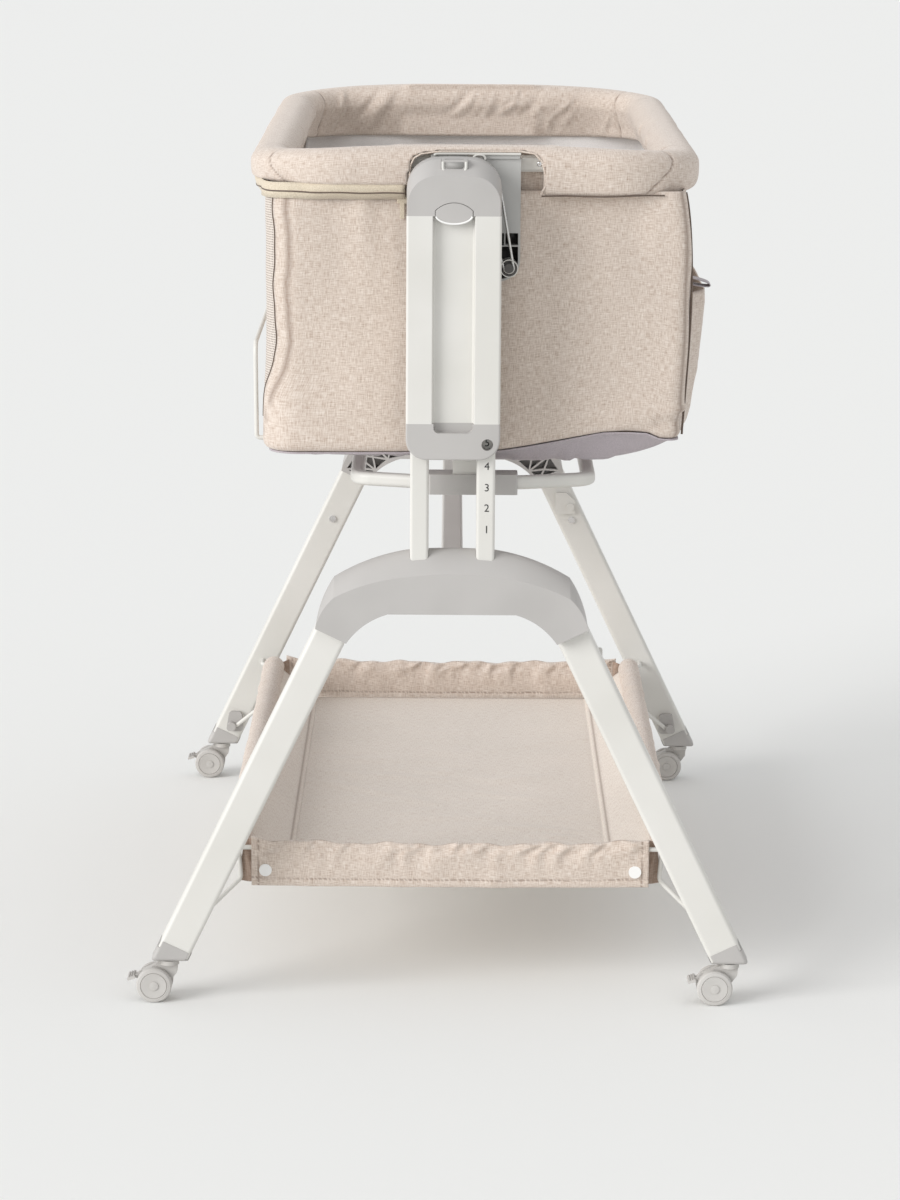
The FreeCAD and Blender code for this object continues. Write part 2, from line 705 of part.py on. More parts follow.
def basket_cloth():
    """Cloth tray: flat floor, sides leaning out to a padded sleeve, a folded hem at each end."""
    wall = size("basket_cloth_wall")
    low = size("basket_floor_level")
    half = size("basket_floor_half")
    bow = V3(size("bow_half_span"), size("bow_level"), 0)
    lean = (bow - V3(half, low, 0)).normalize()
    normal = V3(-lean.y, lean.x, 0)
    reach = size("sleeve_radius") * 0.8

    def side_points(sign):
        foot_out = V3(half, low, 0)
        top_out = bow - lean * reach - normal * (wall / 2)
        top_in = bow - lean * reach + normal * (wall / 2)
        foot_in = V3(half - wall * 0.6, low + wall, 0)
        return [V3(sign * p.x, p.y, 0) for p in (foot_out, top_out, top_in, foot_in)]

    right = side_points(1)
    left = side_points(-1)
    points = right + left[::-1]
    body = new_body("basket_cloth")
    tray = draw(body, "tray", "XZ_Plane", [rounded(points, 0)])
    pad(body, tray, "2 * sizes.bow_end_plane", symmetric=True)
    for sign in (-1, 1):
        name = "sleeve_left" if sign < 0 else "sleeve_right"
        centre = (sign * bow.x, bow.y)
        pad(body, draw(body, name, "XZ_Plane", [circle(size("sleeve_radius"), *centre)]),
            "2 * sizes.bow_end_plane - 14", symmetric=True)
    for end in (-1, 1):
        name = "hem_near" if end < 0 else "hem_far"
        hem = rounded(
            rectangle(size("hem_half_width"), (size("hem_top_level") - low) / 2, 0,
                      (size("hem_top_level") + low) / 2), 2)
        level = "sizes.basket_end_plane" if end < 0 else "-sizes.basket_end_plane"
        pad(body, draw(body, name, "XZ_Plane", [hem], level), "sizes.hem_thickness", backward=end < 0)
    floor_ends = rounded(rectangle(half, size("basket_end_plane") - 1), 4)
    pad(body, draw(body, "floor", "XY_Plane", [floor_ends], "sizes.basket_floor_level"),
        "sizes.basket_cloth_wall")
    for end in (-1, 1):
        name = "bar_near" if end < 0 else "bar_far"
        slot = draw(body, name, "YZ_Plane",
                    [circle(size("rod_radius") + 0.3,
                            end * (size("basket_end_plane") - size("hem_thickness") / 2),
                            size("crossbar_level"))])
        pocket(body, slot, "3 * sizes.hem_half_width", symmetric=True)
    bores = draw(body, "bow_bores", "XZ_Plane",
                 [circle(size("rod_radius") + 0.3, sign * bow.x, bow.y) for sign in (-1, 1)])
    pocket(body, bores, "3 * sizes.basket_end_plane", symmetric=True)
    return keep(body, "basket_cloth")


def crossbars():
    """Straight rods from leg to leg, through the basket's hems."""
    bars = []
    level = size("crossbar_level")
    plane = size("basket_end_plane") - size("hem_thickness") / 2
    reach = leg_centre(level)
    out = size("end_plane") - size("leg_depth") / 2
    for end in (-1, 1):
        points = [
            V3(-reach, end * out, level),
            V3(-reach, end * plane, level),
            V3(reach, end * plane, level),
            V3(reach, end * out, level),
        ]
        bars.append(feature_of("crossbar", rod(wire_path(points, 9), size("rod_radius"))))
    return group("basket_crossbars", bars)


def side_bows():
    """Bent rods: a long run in the sleeve, each end down and out to its leg bracket."""
    bows = []
    span = size("bow_half_span")
    high = size("bow_level")
    corner = size("bow_corner_level")
    plane = size("bow_end_plane") + 3
    foot = size("bracket_level")
    out = leg_centre(foot) - 6
    for side in (-1, 1):
        points = [
            V3(side * out, -(size("end_plane") - size("leg_depth") / 2 - 9), foot),
            V3(side * (span - 3), -plane, corner),
            V3(side * span, -plane, high),
            V3(side * span, plane, high),
            V3(side * (span - 3), plane, corner),
            V3(side * out, size("end_plane") - size("leg_depth") / 2 - 9, foot),
        ]
        bows.append(feature_of("side_bow", rod(wire_path(points, 8), size("rod_radius"))))
    return group("basket_bows", bows)


def bow_brackets():
    """Moulded brackets on the legs' inner faces that hold the side bows' ends."""
    brackets = []
    for end in (-1, 1):
        for side in (-1, 1):
            body = new_body("bow_bracket")
            foot = size("bracket_level")
            centre = side * leg_centre(foot)
            outline = [
                V3(centre - side * 14, foot - 8, 0),
                V3(centre + side * 7, foot - 8, 0),
                V3(centre + side * 3, foot + 16, 0),
                V3(centre - side * 12, foot + 16, 0),
            ]
            level = "%d * (sizes.end_plane - sizes.leg_depth / 2)" % (-end)
            pad(body, draw(body, "outline", "XZ_Plane", [rounded(outline, 4)], level),
                "7", backward=end < 0)
            boss = [circle(5.2, centre, foot - 1)]
            pad(body, draw(body, "boss", "XZ_Plane", boss, level), "14", backward=end < 0)
            doc.recompute()
            brackets.append(body)
    return brackets


def basket_snaps():
    snaps = []
    for end in (-1, 1):
        for side in (-1, 1):
            snap = doc.addObject("Part::Cylinder", "snap")
            bind(snap, Radius="6.3")
            bind(snap, Height="1.6")
            x = side * (size("hem_half_width") - 14)
            snap.Placement = FreeCAD.Placement(
                V3(x, end * size("basket_end_plane"), size("hem_top_level") - 32),
                FreeCAD.Rotation(V3(1, 0, 0), -90 * end),
            )
            snaps.append(snap)
    return group("basket_snaps", snaps)


# ---------------------------------------------------------------- casters, about the swivel axis


def caster_fork(name):
    """Fork between the twin wheels: hub plate, neck, collar, stem and the pedal's ear."""
    trail = -size("caster_trail")
    axle = size("wheel_radius")
    body = new_body(name)
    neck = [
        V3(trail - 8.5, axle - 4, 0),
        V3(trail + 8.5, axle - 7, 0),
        V3(7.5, size("foot_level") - 13, 0),
        V3(8.5, size("foot_level") - 2, 0),
        V3(-8.5, size("foot_level") - 2, 0),
        V3(trail - 2, axle + 17.5, 0),
        V3(trail - 15.5, axle + 11.5, 0),
        V3(trail - 18.2, axle + 6, 0),
        V3(trail - 8.5, axle + 4, 0),
    ]
    plate = draw(body, "neck", "XZ_Plane", [rounded(neck, [3, 7, 3, 1, 1, 5, 2, 2, 1])])
    pad(body, plate, "sizes.wheel_gap - 2", symmetric=True)
    collar = draw(body, "collar", "XY_Plane", [circle(size("collar_radius"))],
                  "sizes.foot_level - 5")
    pad(body, collar, "4.6")
    stem = draw(body, "stem", "XY_Plane", [circle(size("stem_radius"))], "sizes.foot_level - 2")
    pad(body, stem, "sizes.stem_length + 2")
    bore = draw(body, "bore", "XZ_Plane",
                [circle(size("axle_radius") + size("axle_gap"), trail, axle)])
    pocket(body, bore, "4 * sizes.wheel_gap", symmetric=True)
    half_ear = "(sizes.wheel_gap - 2) / 2 - 1.75"
    for side in (-1, 1):
        level = "%s1 * 1.75" % ("-" if side < 0 else "")
        cheek = draw(body, "cheek_%s" % ("a" if side < 0 else "b"), "XZ_Plane",
                     [rounded(rectangle(5.4, 7.5, trail - 14.4, axle + 5.5), 1)], level)
        pocket(body, cheek, half_ear + " + 1", backward=side > 0)
    pin = draw(body, "pedal_pin", "XZ_Plane",
               [circle(size("pedal_pin_radius"), trail - 14, axle + 7)])
    pad(body, pin, "sizes.wheel_gap - 2.4", symmetric=True)
    return body


def caster_wheels(name):
    """Twin wheels, each with a raised hub cap and a ring groove, and the axle between them."""
    inner = size("wheel_gap") / 2
    outer = inner + size("wheel_width")
    radius = size("wheel_radius")
    profile = [
        V3(0, -inner, 0),
        V3(0, -outer - 0.8, 0),
        V3(4.4, -outer - 0.4, 0),
        V3(4.4, -outer + 0.6, 0),
        V3(12.4, -outer, 0),
        V3(13, -outer + 0.9, 0),
        V3(13.6, -outer, 0),
        V3(radius - 1.2, -outer + 0.6, 0),
        V3(radius, -outer + 2.4, 0),
        V3(radius, -inner, 0),
    ]
    halves = []
    for side in (-1, 1):
        body = new_body("%s_%s" % (name, "outer" if side < 0 else "inner"))
        edge = [V3(p.x, -side * p.y, 0) for p in profile]
        half = draw(body, "profile", "XY_Plane", [rounded(edge, 0)])
        turned = body.newObject("PartDesign::Revolution", body.Name + "_turned")
        turned.Profile = half
        turned.ReferenceAxis = (half, ["V_Axis"])
        turned.Angle = 360
        body.Tip = turned
        halves.append(body)
    axle = doc.addObject("Part::Cylinder", name + "_axle")
    bind(axle, Radius="sizes.axle_radius", Height="sizes.wheel_gap")
    axle.Placement = FreeCAD.Placement(V3(0, inner, 0), FreeCAD.Rotation(V3(1, 0, 0), 90))
    doc.recompute()
    trio = doc.addObject("Part::Compound", name)
    trio.Links = halves + [axle]
    trio.Placement = FreeCAD.Placement(V3(-size("caster_trail"), 0, radius), FreeCAD.Rotation())
    return trio


def brake_pedal(name):
    """Ribbed toe plate on two cheeks that pivot on the fork's pin."""
    trail = -size("caster_trail")
    axle = size("wheel_radius")
    pin = V3(trail - 14, axle + 7, 0)
    radius = size("wheel_radius")
    body = new_body(name)
    toe = [
        V3(trail - radius - 1.2, axle + 9.2, 0),
        V3(trail - radius - 1.2, axle + 6.4, 0),
        V3(trail - radius - 9, axle + 4.0, 0),
        V3(trail - radius - 9, axle + 6.6, 0),
    ]
    pad(body, draw(body, "toe", "XZ_Plane", [rounded(toe, 0.8)]), "20", symmetric=True)
    arm = [
        V3(pin.x + 3.2, pin.y + 3.0, 0),
        V3(trail - radius - 2.2, axle + 9.0, 0),
        V3(trail - radius - 2.2, axle + 6.0, 0),
        V3(pin.x + 3.2, pin.y - 3.0, 0),
    ]
    pad(body, draw(body, "arm", "XZ_Plane", [rounded(arm, [2.3, 0, 0, 2.3])]),
        "sizes.wheel_gap - 2.6", symmetric=True)
    gap = draw(body, "ear_gap", "XZ_Plane", [rectangle_edges(5.2, 4.6, pin.x - 0.3, pin.y)])
    pocket(body, gap, "4.1", symmetric=True)
    bore = draw(body, "bore", "XZ_Plane",
                [circle(size("pedal_pin_radius") + size("axle_gap"), pin.x, pin.y)])
    pocket(body, bore, "40", symmetric=True)
    for i in range(3):
        x = trail - radius - 3 - 2.2 * i
        rib = draw(body, "rib%d" % i, "XZ_Plane",
                   [rectangle_edges(0.5, 1.2, x, axle + 8.4 - 0.75 * i)])
        pad(body, rib, "17", symmetric=True)
    return body


def rectangle_edges(half_x, half_y, x, y):
    return rounded(rectangle(half_x, half_y, x, y), 0)


def casters():
    for end, end_name in ((-1, "near"), (1, "far")):
        for side, side_name in ((-1, "left"), (1, "right")):
            label = "%s_%s_caster_" % (end_name, side_name)
            for build, piece in ((caster_fork, "fork"), (caster_wheels, "wheels"), (brake_pedal, "pedal")):
                body = build(label + piece)
                local = body.Placement.Base
                body.Placement = FreeCAD.Placement(
                    V3(local.x + side * leg_centre(size("foot_level")), end * size("end_plane"), local.z),
                    FreeCAD.Rotation(),
                )
                keep(body, label + piece)


# ---------------------------------------------------------------- height carriages, near end


def post_holes(gap):
    holes = []
    for side in (-1, 1):
        points = rectangle(size("post_width") / 2 + gap, size("post_depth") / 2 + gap,
                           side * size("post_spacing") / 2, -size("end_plane"))
        holes.append(rounded(points, size("post_round") + gap))
    return holes


def column_plan():
    """Plan of the column: rounded outer corners and the finger channel in its outer face."""
    half = size("column_half_width")
    front = -size("column_front")
    back = -size("column_back")
    channel = size("channel_half_width")
    deep = front + size("channel_depth")
    points = [
        V3(-half, front, 0), V3(-channel - 1.5, front, 0), V3(-channel, deep, 0), V3(channel, deep, 0),
        V3(channel + 1.5, front, 0), V3(half, front, 0), V3(half, back, 0), V3(-half, back, 0),
    ]
    bevel = size("column_bevel")
    return rounded(points, [bevel, 0.8, 1.5, 1.5, 0.8, bevel, 1.5, 1.5])


def column_shell(name):
    """Sliding column between its two caps, with a passage for each post."""
    body = new_body(name)
    plan = draw(body, "plan", "XY_Plane", [column_plan()] + post_holes(size("slide_gap")),
                "sizes.shell_bottom_level")
    pad(body, plan, "sizes.shell_top_level - sizes.shell_bottom_level")
    return body


def foot_cap(name):
    """Grey lower cap: rounded lower corners, post passages, number window, channel's end."""
    half = size("column_half_width")
    low = size("foot_cap_level")
    high = size("shell_bottom_level")
    body = new_body(name)
    outline = rectangle(half, (high - low) / 2, 0, (high + low) / 2)
    r = size("foot_cap_round")
    face = draw(body, "face", "XZ_Plane", [rounded(outline, [r, r, 0, 0])], "sizes.column_back")
    pad(body, face, "sizes.column_front - sizes.column_back")
    front = -size("column_front")
    fillet(body, "sizes.column_bevel - 0.7",
           lambda e: abs(e.BoundBox.YMax - front) < 0.01 and e.BoundBox.ZMin < high - 0.1)
    channel = size("channel_half_width")
    end = rectangle(channel, (high - size("channel_bottom_level") + 4) / 2, 0,
                    (high + size("channel_bottom_level") + 4) / 2)
    pocket(body, draw(body, "channel", "XZ_Plane", [rounded(end, [5, 5, 0, 0])],
                      "sizes.column_front - sizes.channel_depth"), "sizes.channel_depth + 2", backward=True)
    holes = draw(body, "posts", "XY_Plane", post_holes(size("slide_gap")), "sizes.foot_cap_level - 1")
    pocket(body, holes, "sizes.shell_bottom_level - sizes.foot_cap_level + 2", backward=True)
    window = draw(body, "window", "XZ_Plane",
                  [circle(size("window_radius"), size("post_spacing") / 2 + 1, size("window_level"))],
                  "sizes.end_plane")
    pocket(body, window, "sizes.column_front - sizes.end_plane + 2", backward=True)
    return body


def cap_outline(half, shoulder, corner, top):
    """Top cap outline: flat foot, upright sides, round corners and a nearly flat top."""
    low = size("shell_top_level")
    mid = corner * (1 - math.cos(math.pi / 4))
    inner = half - corner
    return [
        Part.LineSegment(V3(-half, low, 0), V3(half, low, 0)),
        Part.LineSegment(V3(half, low, 0), V3(half, shoulder, 0)),
        Part.Arc(V3(half, shoulder, 0), V3(half - mid, top - mid * (top - shoulder) / corner, 0),
                 V3(inner, top - 0.4, 0)),
        Part.Arc(V3(inner, top - 0.4, 0), V3(0, top, 0), V3(-inner, top - 0.4, 0)),
        Part.Arc(V3(-inner, top - 0.4, 0), V3(-half + mid, top - mid * (top - shoulder) / corner, 0),
                 V3(-half, shoulder, 0)),
        Part.LineSegment(V3(-half, shoulder, 0), V3(-half, low, 0)),
    ]


def button_outline(gap):
    """Lens outline of the release button, grown by a gap."""
    half = size("channel_half_width") - 0.4 - size("slide_gap") + gap
    top = size("button_top_level") - size("slide_gap") + gap
    middle = size("button_top_level") - size("button_height") / 2
    low = middle * 2 - top
    return [
        Part.LineSegment(V3(half, middle - 2.5, 0), V3(half, middle + 2.5, 0)),
        Part.Arc(V3(half, middle + 2.5, 0), V3(0, top, 0), V3(-half, middle + 2.5, 0)),
        Part.LineSegment(V3(-half, middle + 2.5, 0), V3(-half, middle - 2.5, 0)),
        Part.Arc(V3(-half, middle - 2.5, 0), V3(0, low, 0), V3(half, middle - 2.5, 0)),
    ]


def top_cap(name):
    """Grey top cap with a sloping edge, button seat, latch slot and two link hubs."""
    half = size("column_half_width")
    top = size("cap_top_level")
    body = new_body(name)
    back = cap_outline(half, top - size("cap_round"), size("cap_round"), top)
    block = draw(body, "block", "XZ_Plane", [back], "sizes.column_back")
    pad(body, block, "sizes.column_front - sizes.column_back - sizes.cap_slope_depth")
    deep = draw(body, "slope_back", "XZ_Plane",
                [cap_outline(half, top - size("cap_round"), size("cap_round"), top)],
                "sizes.column_front - sizes.cap_slope_depth")
    face = size("cap_face_level")
    front = draw(body, "slope_face", "XZ_Plane",
                 [cap_outline(half - 1.5, face - 27, 27, face)], "sizes.column_front")
    loft = body.newObject("PartDesign::AdditiveLoft", name + "_slope")
    loft.Profile = deep
    loft.Sections = [front]
    body.Tip = loft
    doc.recompute()
    seat = draw(body, "seat", "XZ_Plane", [button_outline(size("slide_gap"))],
                "sizes.column_front - sizes.channel_depth")
    pocket(body, seat, "sizes.channel_depth + 2", backward=True)
    cup = size("latch_half_width") + size("slide_gap")
    slot_depth = size("latch_depth") + size("latch_travel") + 2 * size("slide_gap")
    slot = rectangle(cup, slot_depth / 2, 0, -latch_front() + slot_depth / 2 - size("slide_gap"))
    sketch = draw(body, "latch_slot", "XY_Plane", [rounded(slot, 0.4)],
                  "sizes.cap_top_level - sizes.latch_height - sizes.slide_gap")
    pocket(body, sketch, "sizes.latch_height + 6", backward=True)
    for side in (-1, 1):
        centre = (side * size("link_half_spacing"), size("hub_level"))
        tag = "left" if side < 0 else "right"
        pad(body, draw(body, "hub_" + tag, "XZ_Plane", [circle(size("hub_radius"), *centre)],
                       "sizes.column_back"),
            "sizes.column_back - sizes.wire_plane + sizes.wire_radius + 0.3", backward=True)
        pad(body, draw(body, "flange_" + tag, "XZ_Plane", [circle(size("hub_flange"), *centre)],
                       "sizes.wire_plane - sizes.wire_radius - 0.3"),
            "sizes.flange_thickness", backward=True)
    return body


def latch_front():
    """Outer face of the swing latch cup, from the middle."""
    return size("column_front") - 8


def swing_latch(name):
    """Finger cup on the top cap that slides towards the bassinet."""
    half = size("latch_half_width")
    depth = size("latch_depth")
    top = size("cap_top_level")
    body = new_body(name)
    face = rectangle(half, size("latch_height") / 2, 0, top + 0.4 - size("latch_height") / 2)
    shape = draw(body, "face", "XZ_Plane", [rounded(face, [5, 5, 1, 1])])
    shape.AttachmentOffset = FreeCAD.Placement(V3(0, 0, latch_front()), FreeCAD.Rotation())
    pad(body, shape, "sizes.latch_depth", backward=True)
    wall = size("latch_wall")
    cup = rectangle(half - wall, depth / 2 - wall * 0.7, 0, -latch_front() + depth / 2)
    pocket(body, draw(body, "cup", "XY_Plane", [rounded(cup, 1.5)], "sizes.cap_top_level - 9"),
           "sizes.latch_height", backward=True)
    return body


def release_button(name):
    """Lens-shaped height release button in the top of the finger channel."""
    body = new_body(name)
    face = draw(body, "face", "XZ_Plane", [button_outline(0)],
                "sizes.column_front - sizes.button_thickness - 0.3")
    pad(body, face, "sizes.button_thickness")
    front = -(size("column_front") - 0.3)
    fillet(body, "1", lambda e: abs(e.BoundBox.YMax - front) < 0.01 and abs(e.BoundBox.YMin - front) < 0.01)
    return body


# ---------------------------------------------------------------- swing links


def swing_link(name, side, end):
    """Formed wire loop, tight round the hub above and the pin below."""
    wire = size("wire_radius")
    big = size("hub_radius") + wire + size("axle_gap")
    small = size("link_pin_radius") + wire + size("axle_gap")
    length = size("link_length")
    spread = math.asin((big - small) / length)
    across = V3(math.cos(spread), -math.sin(spread), 0)
    hub = V3(0, 0, 0)
    pin = V3(0, -length, 0)

    def mirror(p):
        return V3(-p.x, p.y, 0)

    top = hub + across * big
    low = pin + across * small
    edges = [
        Part.Arc(mirror(top), V3(0, big, 0), top),
        Part.LineSegment(top, low),
        Part.Arc(low, V3(0, -length - small, 0), mirror(low)),
        Part.LineSegment(mirror(low), mirror(top)),
    ]
    path = Part.Wire([e.toShape() for e in edges])
    start = mirror(top)
    along = path.Edges[0].tangentAt(path.Edges[0].FirstParameter)
    section = Part.Wire(Part.makeCircle(wire, start, along))
    loop = path.makePipeShell([section], True, True)
    upright = FreeCAD.Rotation(V3(1, 0, 0), 90)
    swing = FreeCAD.Rotation(V3(0, 1, 0), -math.degrees(REST_SWING))
    link = feature_of(name, loop)
    link.Placement = FreeCAD.Placement(
        V3(side * size("link_half_spacing"), end * size("wire_plane"), size("hub_level")),
        swing.multiply(upright),
    )
    return keep(link, name)


# ---------------------------------------------------------------- bassinet, about its own middle


def end_bracket(name):
    """Moulded end bracket: edge wall, top rail with a latch notch, ribbed link pocket."""
    half = size("bracket_half_width")
    low = size("bracket_bottom_level")
    top = size("bracket_top_level")
    body = new_body(name)
    outline = rectangle(half, (top - low) / 2, 0, (top + low) / 2)
    pad(body, draw(body, "outline", "XZ_Plane", [rounded(outline, [20, 20, 2, 2])],
                   "sizes.bracket_back"), "sizes.bracket_front - sizes.bracket_back")
    wall = size("bracket_wall")
    high = size("pocket_top_level")
    rib_x = half - 15
    rib_z = low + 34
    cells = []
    spans = [(-half + wall, -rib_x - 0.6), (-rib_x + 0.6, -1), (1, rib_x - 0.6), (rib_x + 0.6, half - wall)]
    for left, right in spans:
        cells.append(rounded(rectangle((right - left) / 2, (high - rib_z) / 2 - 0.6, (left + right) / 2,
                                       (high + rib_z) / 2), 0.6))
    lower = rectangle(half - wall, (rib_z - low - wall) / 2 - 0.3, 0, (rib_z + low + wall) / 2 - 0.3)
    cells.append(rounded(lower, [18, 18, 0.6, 0.6]))
    pocket(body, draw(body, "cells", "XZ_Plane", cells, "sizes.bracket_back + 2"),
           "sizes.bracket_front - sizes.bracket_back", backward=True)
    rail = rectangle(half - 1, 1.75, 0, top - 1.75 + 2.5)
    pad(body, draw(body, "rail", "XZ_Plane", [rounded(rail, 1.2)], "sizes.bracket_front - 1"),
        "sizes.bracket_rail")
    notch = rectangle(7, 4, 0, top + 3)
    pocket(body, draw(body, "notch", "XZ_Plane", [rounded(notch, [2, 2, 0, 0])], "sizes.bracket_front - 4"),
           "12", backward=True)
    for side in (-1, 1):
        tag = "left" if side < 0 else "right"
        seat = [circle(size("disc_radius"), side * size("link_half_spacing"), DISC_LEVEL)]
        pad(body, draw(body, "seat_" + tag, "XZ_Plane", seat, "sizes.bracket_back + 1"),
            "sizes.bracket_front - sizes.bracket_back - 1")
    return place(body, x="sizes.swing_shift")


def link_disc(name, side, end):
    """Disc, pin and head that a swing link carries."""
    body = new_body(name)
    centre = (side * size("link_half_spacing"), DISC_LEVEL)
    face = "sizes.bracket_front"
    pad(body, draw(body, "disc", "XZ_Plane", [circle(size("disc_radius"), *centre)], face),
        "sizes.wire_plane - sizes.wire_radius - 0.3 - sizes.bracket_front")
    pad(body, draw(body, "pin", "XZ_Plane", [circle(size("link_pin_radius"), *centre)], face),
        "sizes.wire_plane + sizes.wire_radius + 0.3 - sizes.bracket_front")
    pad(body, draw(body, "head", "XZ_Plane", [circle(size("link_pin_radius") + 1.6, *centre)],
                   "sizes.wire_plane + sizes.wire_radius + 0.3"), "1.2")
    if end < 0:
        return place(body, x="sizes.swing_shift")
    return place(body, x="sizes.swing_shift", turn=180)


def ring_plan(half_x, half_y, corner):
    return rounded(rectangle(half_x, half_y), corner)


def plan_ring(body, name, inset, width, low, height):
    """Level ring of a rounded plan, as for the rim and its tube."""
    outer = ring_plan(size("rim_half_width") - inset, size("rim_half_length") - inset,
                      size("rim_corner") - inset)
    inset_in = inset + width
    inner = ring_plan(size("rim_half_width") - inset_in, size("rim_half_length") - inset_in,
                      size("rim_corner") - inset_in)
    return pad(body, draw(body, name, "XY_Plane", [outer, inner], low), height)


def at_level(edge, level):
    box = edge.BoundBox
    return abs(box.ZMax - level) < 0.01 and abs(box.ZMin - level) < 0.01


def rim_tube_body(name, gap):
    """Flat-oval rim tube; with a gap it is the tool that makes the cover's bore."""
    body = new_body(name)
    width = size("rim_tube_width") + 2 * gap
    height = size("rim_tube_height") + 2 * gap
    level = size("rim_tube_level")
    inset = size("rim_tube_inset") - width / 2
    low = "sizes.rim_tube_level - %.3f" % (height / 2)
    plan_ring(body, "plan", inset, width, low, "%.3f" % height)
    chamfer(body, "sizes.rim_tube_bevel",
            lambda e: at_level(e, level - height / 2) or at_level(e, level + height / 2))
    doc.recompute()
    return body


def rim_cover():
    """Padded rim: crowned ring round the tube, cut away in front of each end bracket."""
    body = new_body("rim_cover_pad")
    low = size("rim_top_level") - size("rim_height")
    plan_ring(body, "plan", 0, size("rim_thickness"), "sizes.rim_top_level - sizes.rim_height",
              "sizes.rim_height")
    fillet(body, "sizes.rim_crown", lambda e: at_level(e, size("rim_top_level")))
    chamfer(body, "sizes.rim_crown * 0.4", lambda e: at_level(e, low))
    for end in (-1, 1):
        tag = "near" if end < 0 else "far"
        mid = (size("bracket_top_level") + 4 + low) / 2
        half = (size("bracket_top_level") + 4 - low) / 2
        window = rectangle(size("rim_cut_half"), half + 1, 0, mid - 1)
        level = "%d * (sizes.bracket_back - 9)" % (-end)
        pocket(body, draw(body, "cut_" + tag, "XZ_Plane", [rounded(window, [0, 0, 9, 9])], level),
               "40", backward=end < 0)
    place(body, x="sizes.swing_shift")
    bore = place(rim_tube_body("rim_bore", 0.3), x="sizes.swing_shift")
    doc.recompute()
    cut = doc.addObject("Part::Cut", "rim_cover")
    cut.Base = body
    cut.Tool = bore
    return keep(cut, "rim_cover")


def tub_profile(inset, low, high, drop=0.0):
    """Bassinet section in X and Z: upright sides, an underside that rises to the right."""
    half = size("wall_half_width") - inset
    rise = size("tub_rise")
    start = size("tub_rise_start")
    points = [
        V3(-half, low - drop, 0), V3(start, low - drop, 0), V3(half - 16, low + rise * 0.62 - drop, 0),
        V3(half, low + rise * 1.35, 0), V3(half, high, 0), V3(-half, high, 0),
    ]
    return rounded(points, [9, 60, 8, 8, 0, 0])


def upright(edge):
    return isinstance(edge.Curve, Part.Line) and abs(edge.tangentAt(edge.FirstParameter).z) > 0.999


def tub_solid(name, inset, low, high):
    body = new_body(name)
    shape = draw(body, "profile", "XZ_Plane", [tub_profile(inset, low, high)])
    pad(body, shape, "2 * (sizes.wall_half_length - %.3f)" % inset, symmetric=True)
    doc.recompute()
    return body


def plan_prism(name, half_x, half_y, corner, low, high):
    body = new_body(name)
    pad(body, draw(body, "plan", "XY_Plane", [ring_plan(half_x, half_y, corner)], "%.3f" % low),
        "%.3f" % (high - low))
    return body


def common(name, first, second):
    doc.recompute()
    feature = doc.addObject("Part::MultiCommon", name)
    feature.Shapes = [first, second]
    return feature


def bassinet_walls():
    """Cloth walls and underside: the section run along the crib, held to a rounded plan."""
    wall = size("wall_thickness")
    low = size("tub_bottom_level")
    top = size("rim_top_level") - size("rim_height")
    outer = common(
        "wall_outer", tub_solid("wall_outer_run", 0, low, top),
        plan_prism("wall_outer_plan", size("wall_half_width"), size("wall_half_length"),
                   size("wall_corner"), low - 5, top + 5),
    )
    inner = common(
        "wall_inner", tub_solid("wall_inner_run", wall, low + wall, top + 5),
        plan_prism("wall_inner_plan", size("wall_half_width") - wall, size("wall_half_length") - wall,
                   size("wall_corner") - wall, low - 5, top + 10),
    )
    opening = new_body("mesh_opening")
    mesh = rectangle(size("mesh_half_length"), (top - size("mesh_bottom_level")) / 2 + 2, 0,
                     (top + size("mesh_bottom_level")) / 2 + 2)
    pad(opening, draw(opening, "edge", "YZ_Plane", [rounded(mesh, [20, 20, 0, 0])],
                      "-sizes.wall_half_width - 5"), "sizes.wall_thickness + 10")
    doc.recompute()
    tools = doc.addObject("Part::MultiFuse", "wall_room")
    tools.Shapes = [inner, opening]
    doc.recompute()
    cut = doc.addObject("Part::Cut", "bassinet_walls")
    cut.Base = outer
    cut.Tool = tools
    place(cut, x="sizes.swing_shift")
    return keep(cut, "bassinet_walls")


def mesh_side():
    body = new_body("mesh_side")
    gap = 0.3
    top = size("rim_top_level") - size("rim_height")
    half_height = (top - size("mesh_bottom_level")) / 2 - gap
    edge = rectangle(size("mesh_half_length") - gap, half_height, 0, (top + size("mesh_bottom_level")) / 2)
    pad(body, draw(body, "edge", "YZ_Plane", [rounded(edge, [19.7, 19.7, 0, 0])],
                   "-sizes.wall_half_width + 0.5"), "1.5")
    place(body, x="sizes.swing_shift")
    return keep(body, "mesh_side")


def base_cloth():
    """Loose cloth under the bassinet, sagging below the walls' lower edge."""
    body = new_body("base_cloth")
    low = size("tub_bottom_level")
    half = size("wall_half_width")
    sag = size("base_sag")
    rise = size("tub_rise")
    start = size("tub_rise_start")
    upper = [V3(half - 18, low + rise * 0.56 - 0.6, 0), V3(start, low - 0.3, 0), V3(-half + 30, low - 0.3, 0)]
    lower = [V3(-half + 34, low - 4, 0), V3(-half + 90, low - sag, 0), V3(start + 20, low - sag, 0),
             V3(half - 30, low + rise * 0.3 - sag * 0.4, 0)]
    points = upper + lower
    pad(body, draw(body, "profile", "XZ_Plane", [rounded(points, [0, 0, 0, 1, 40, 40, 4])]),
        "2 * (sizes.wall_half_length - 14)", symmetric=True)
    place(body, x="sizes.swing_shift")
    return keep(body, "base_cloth")


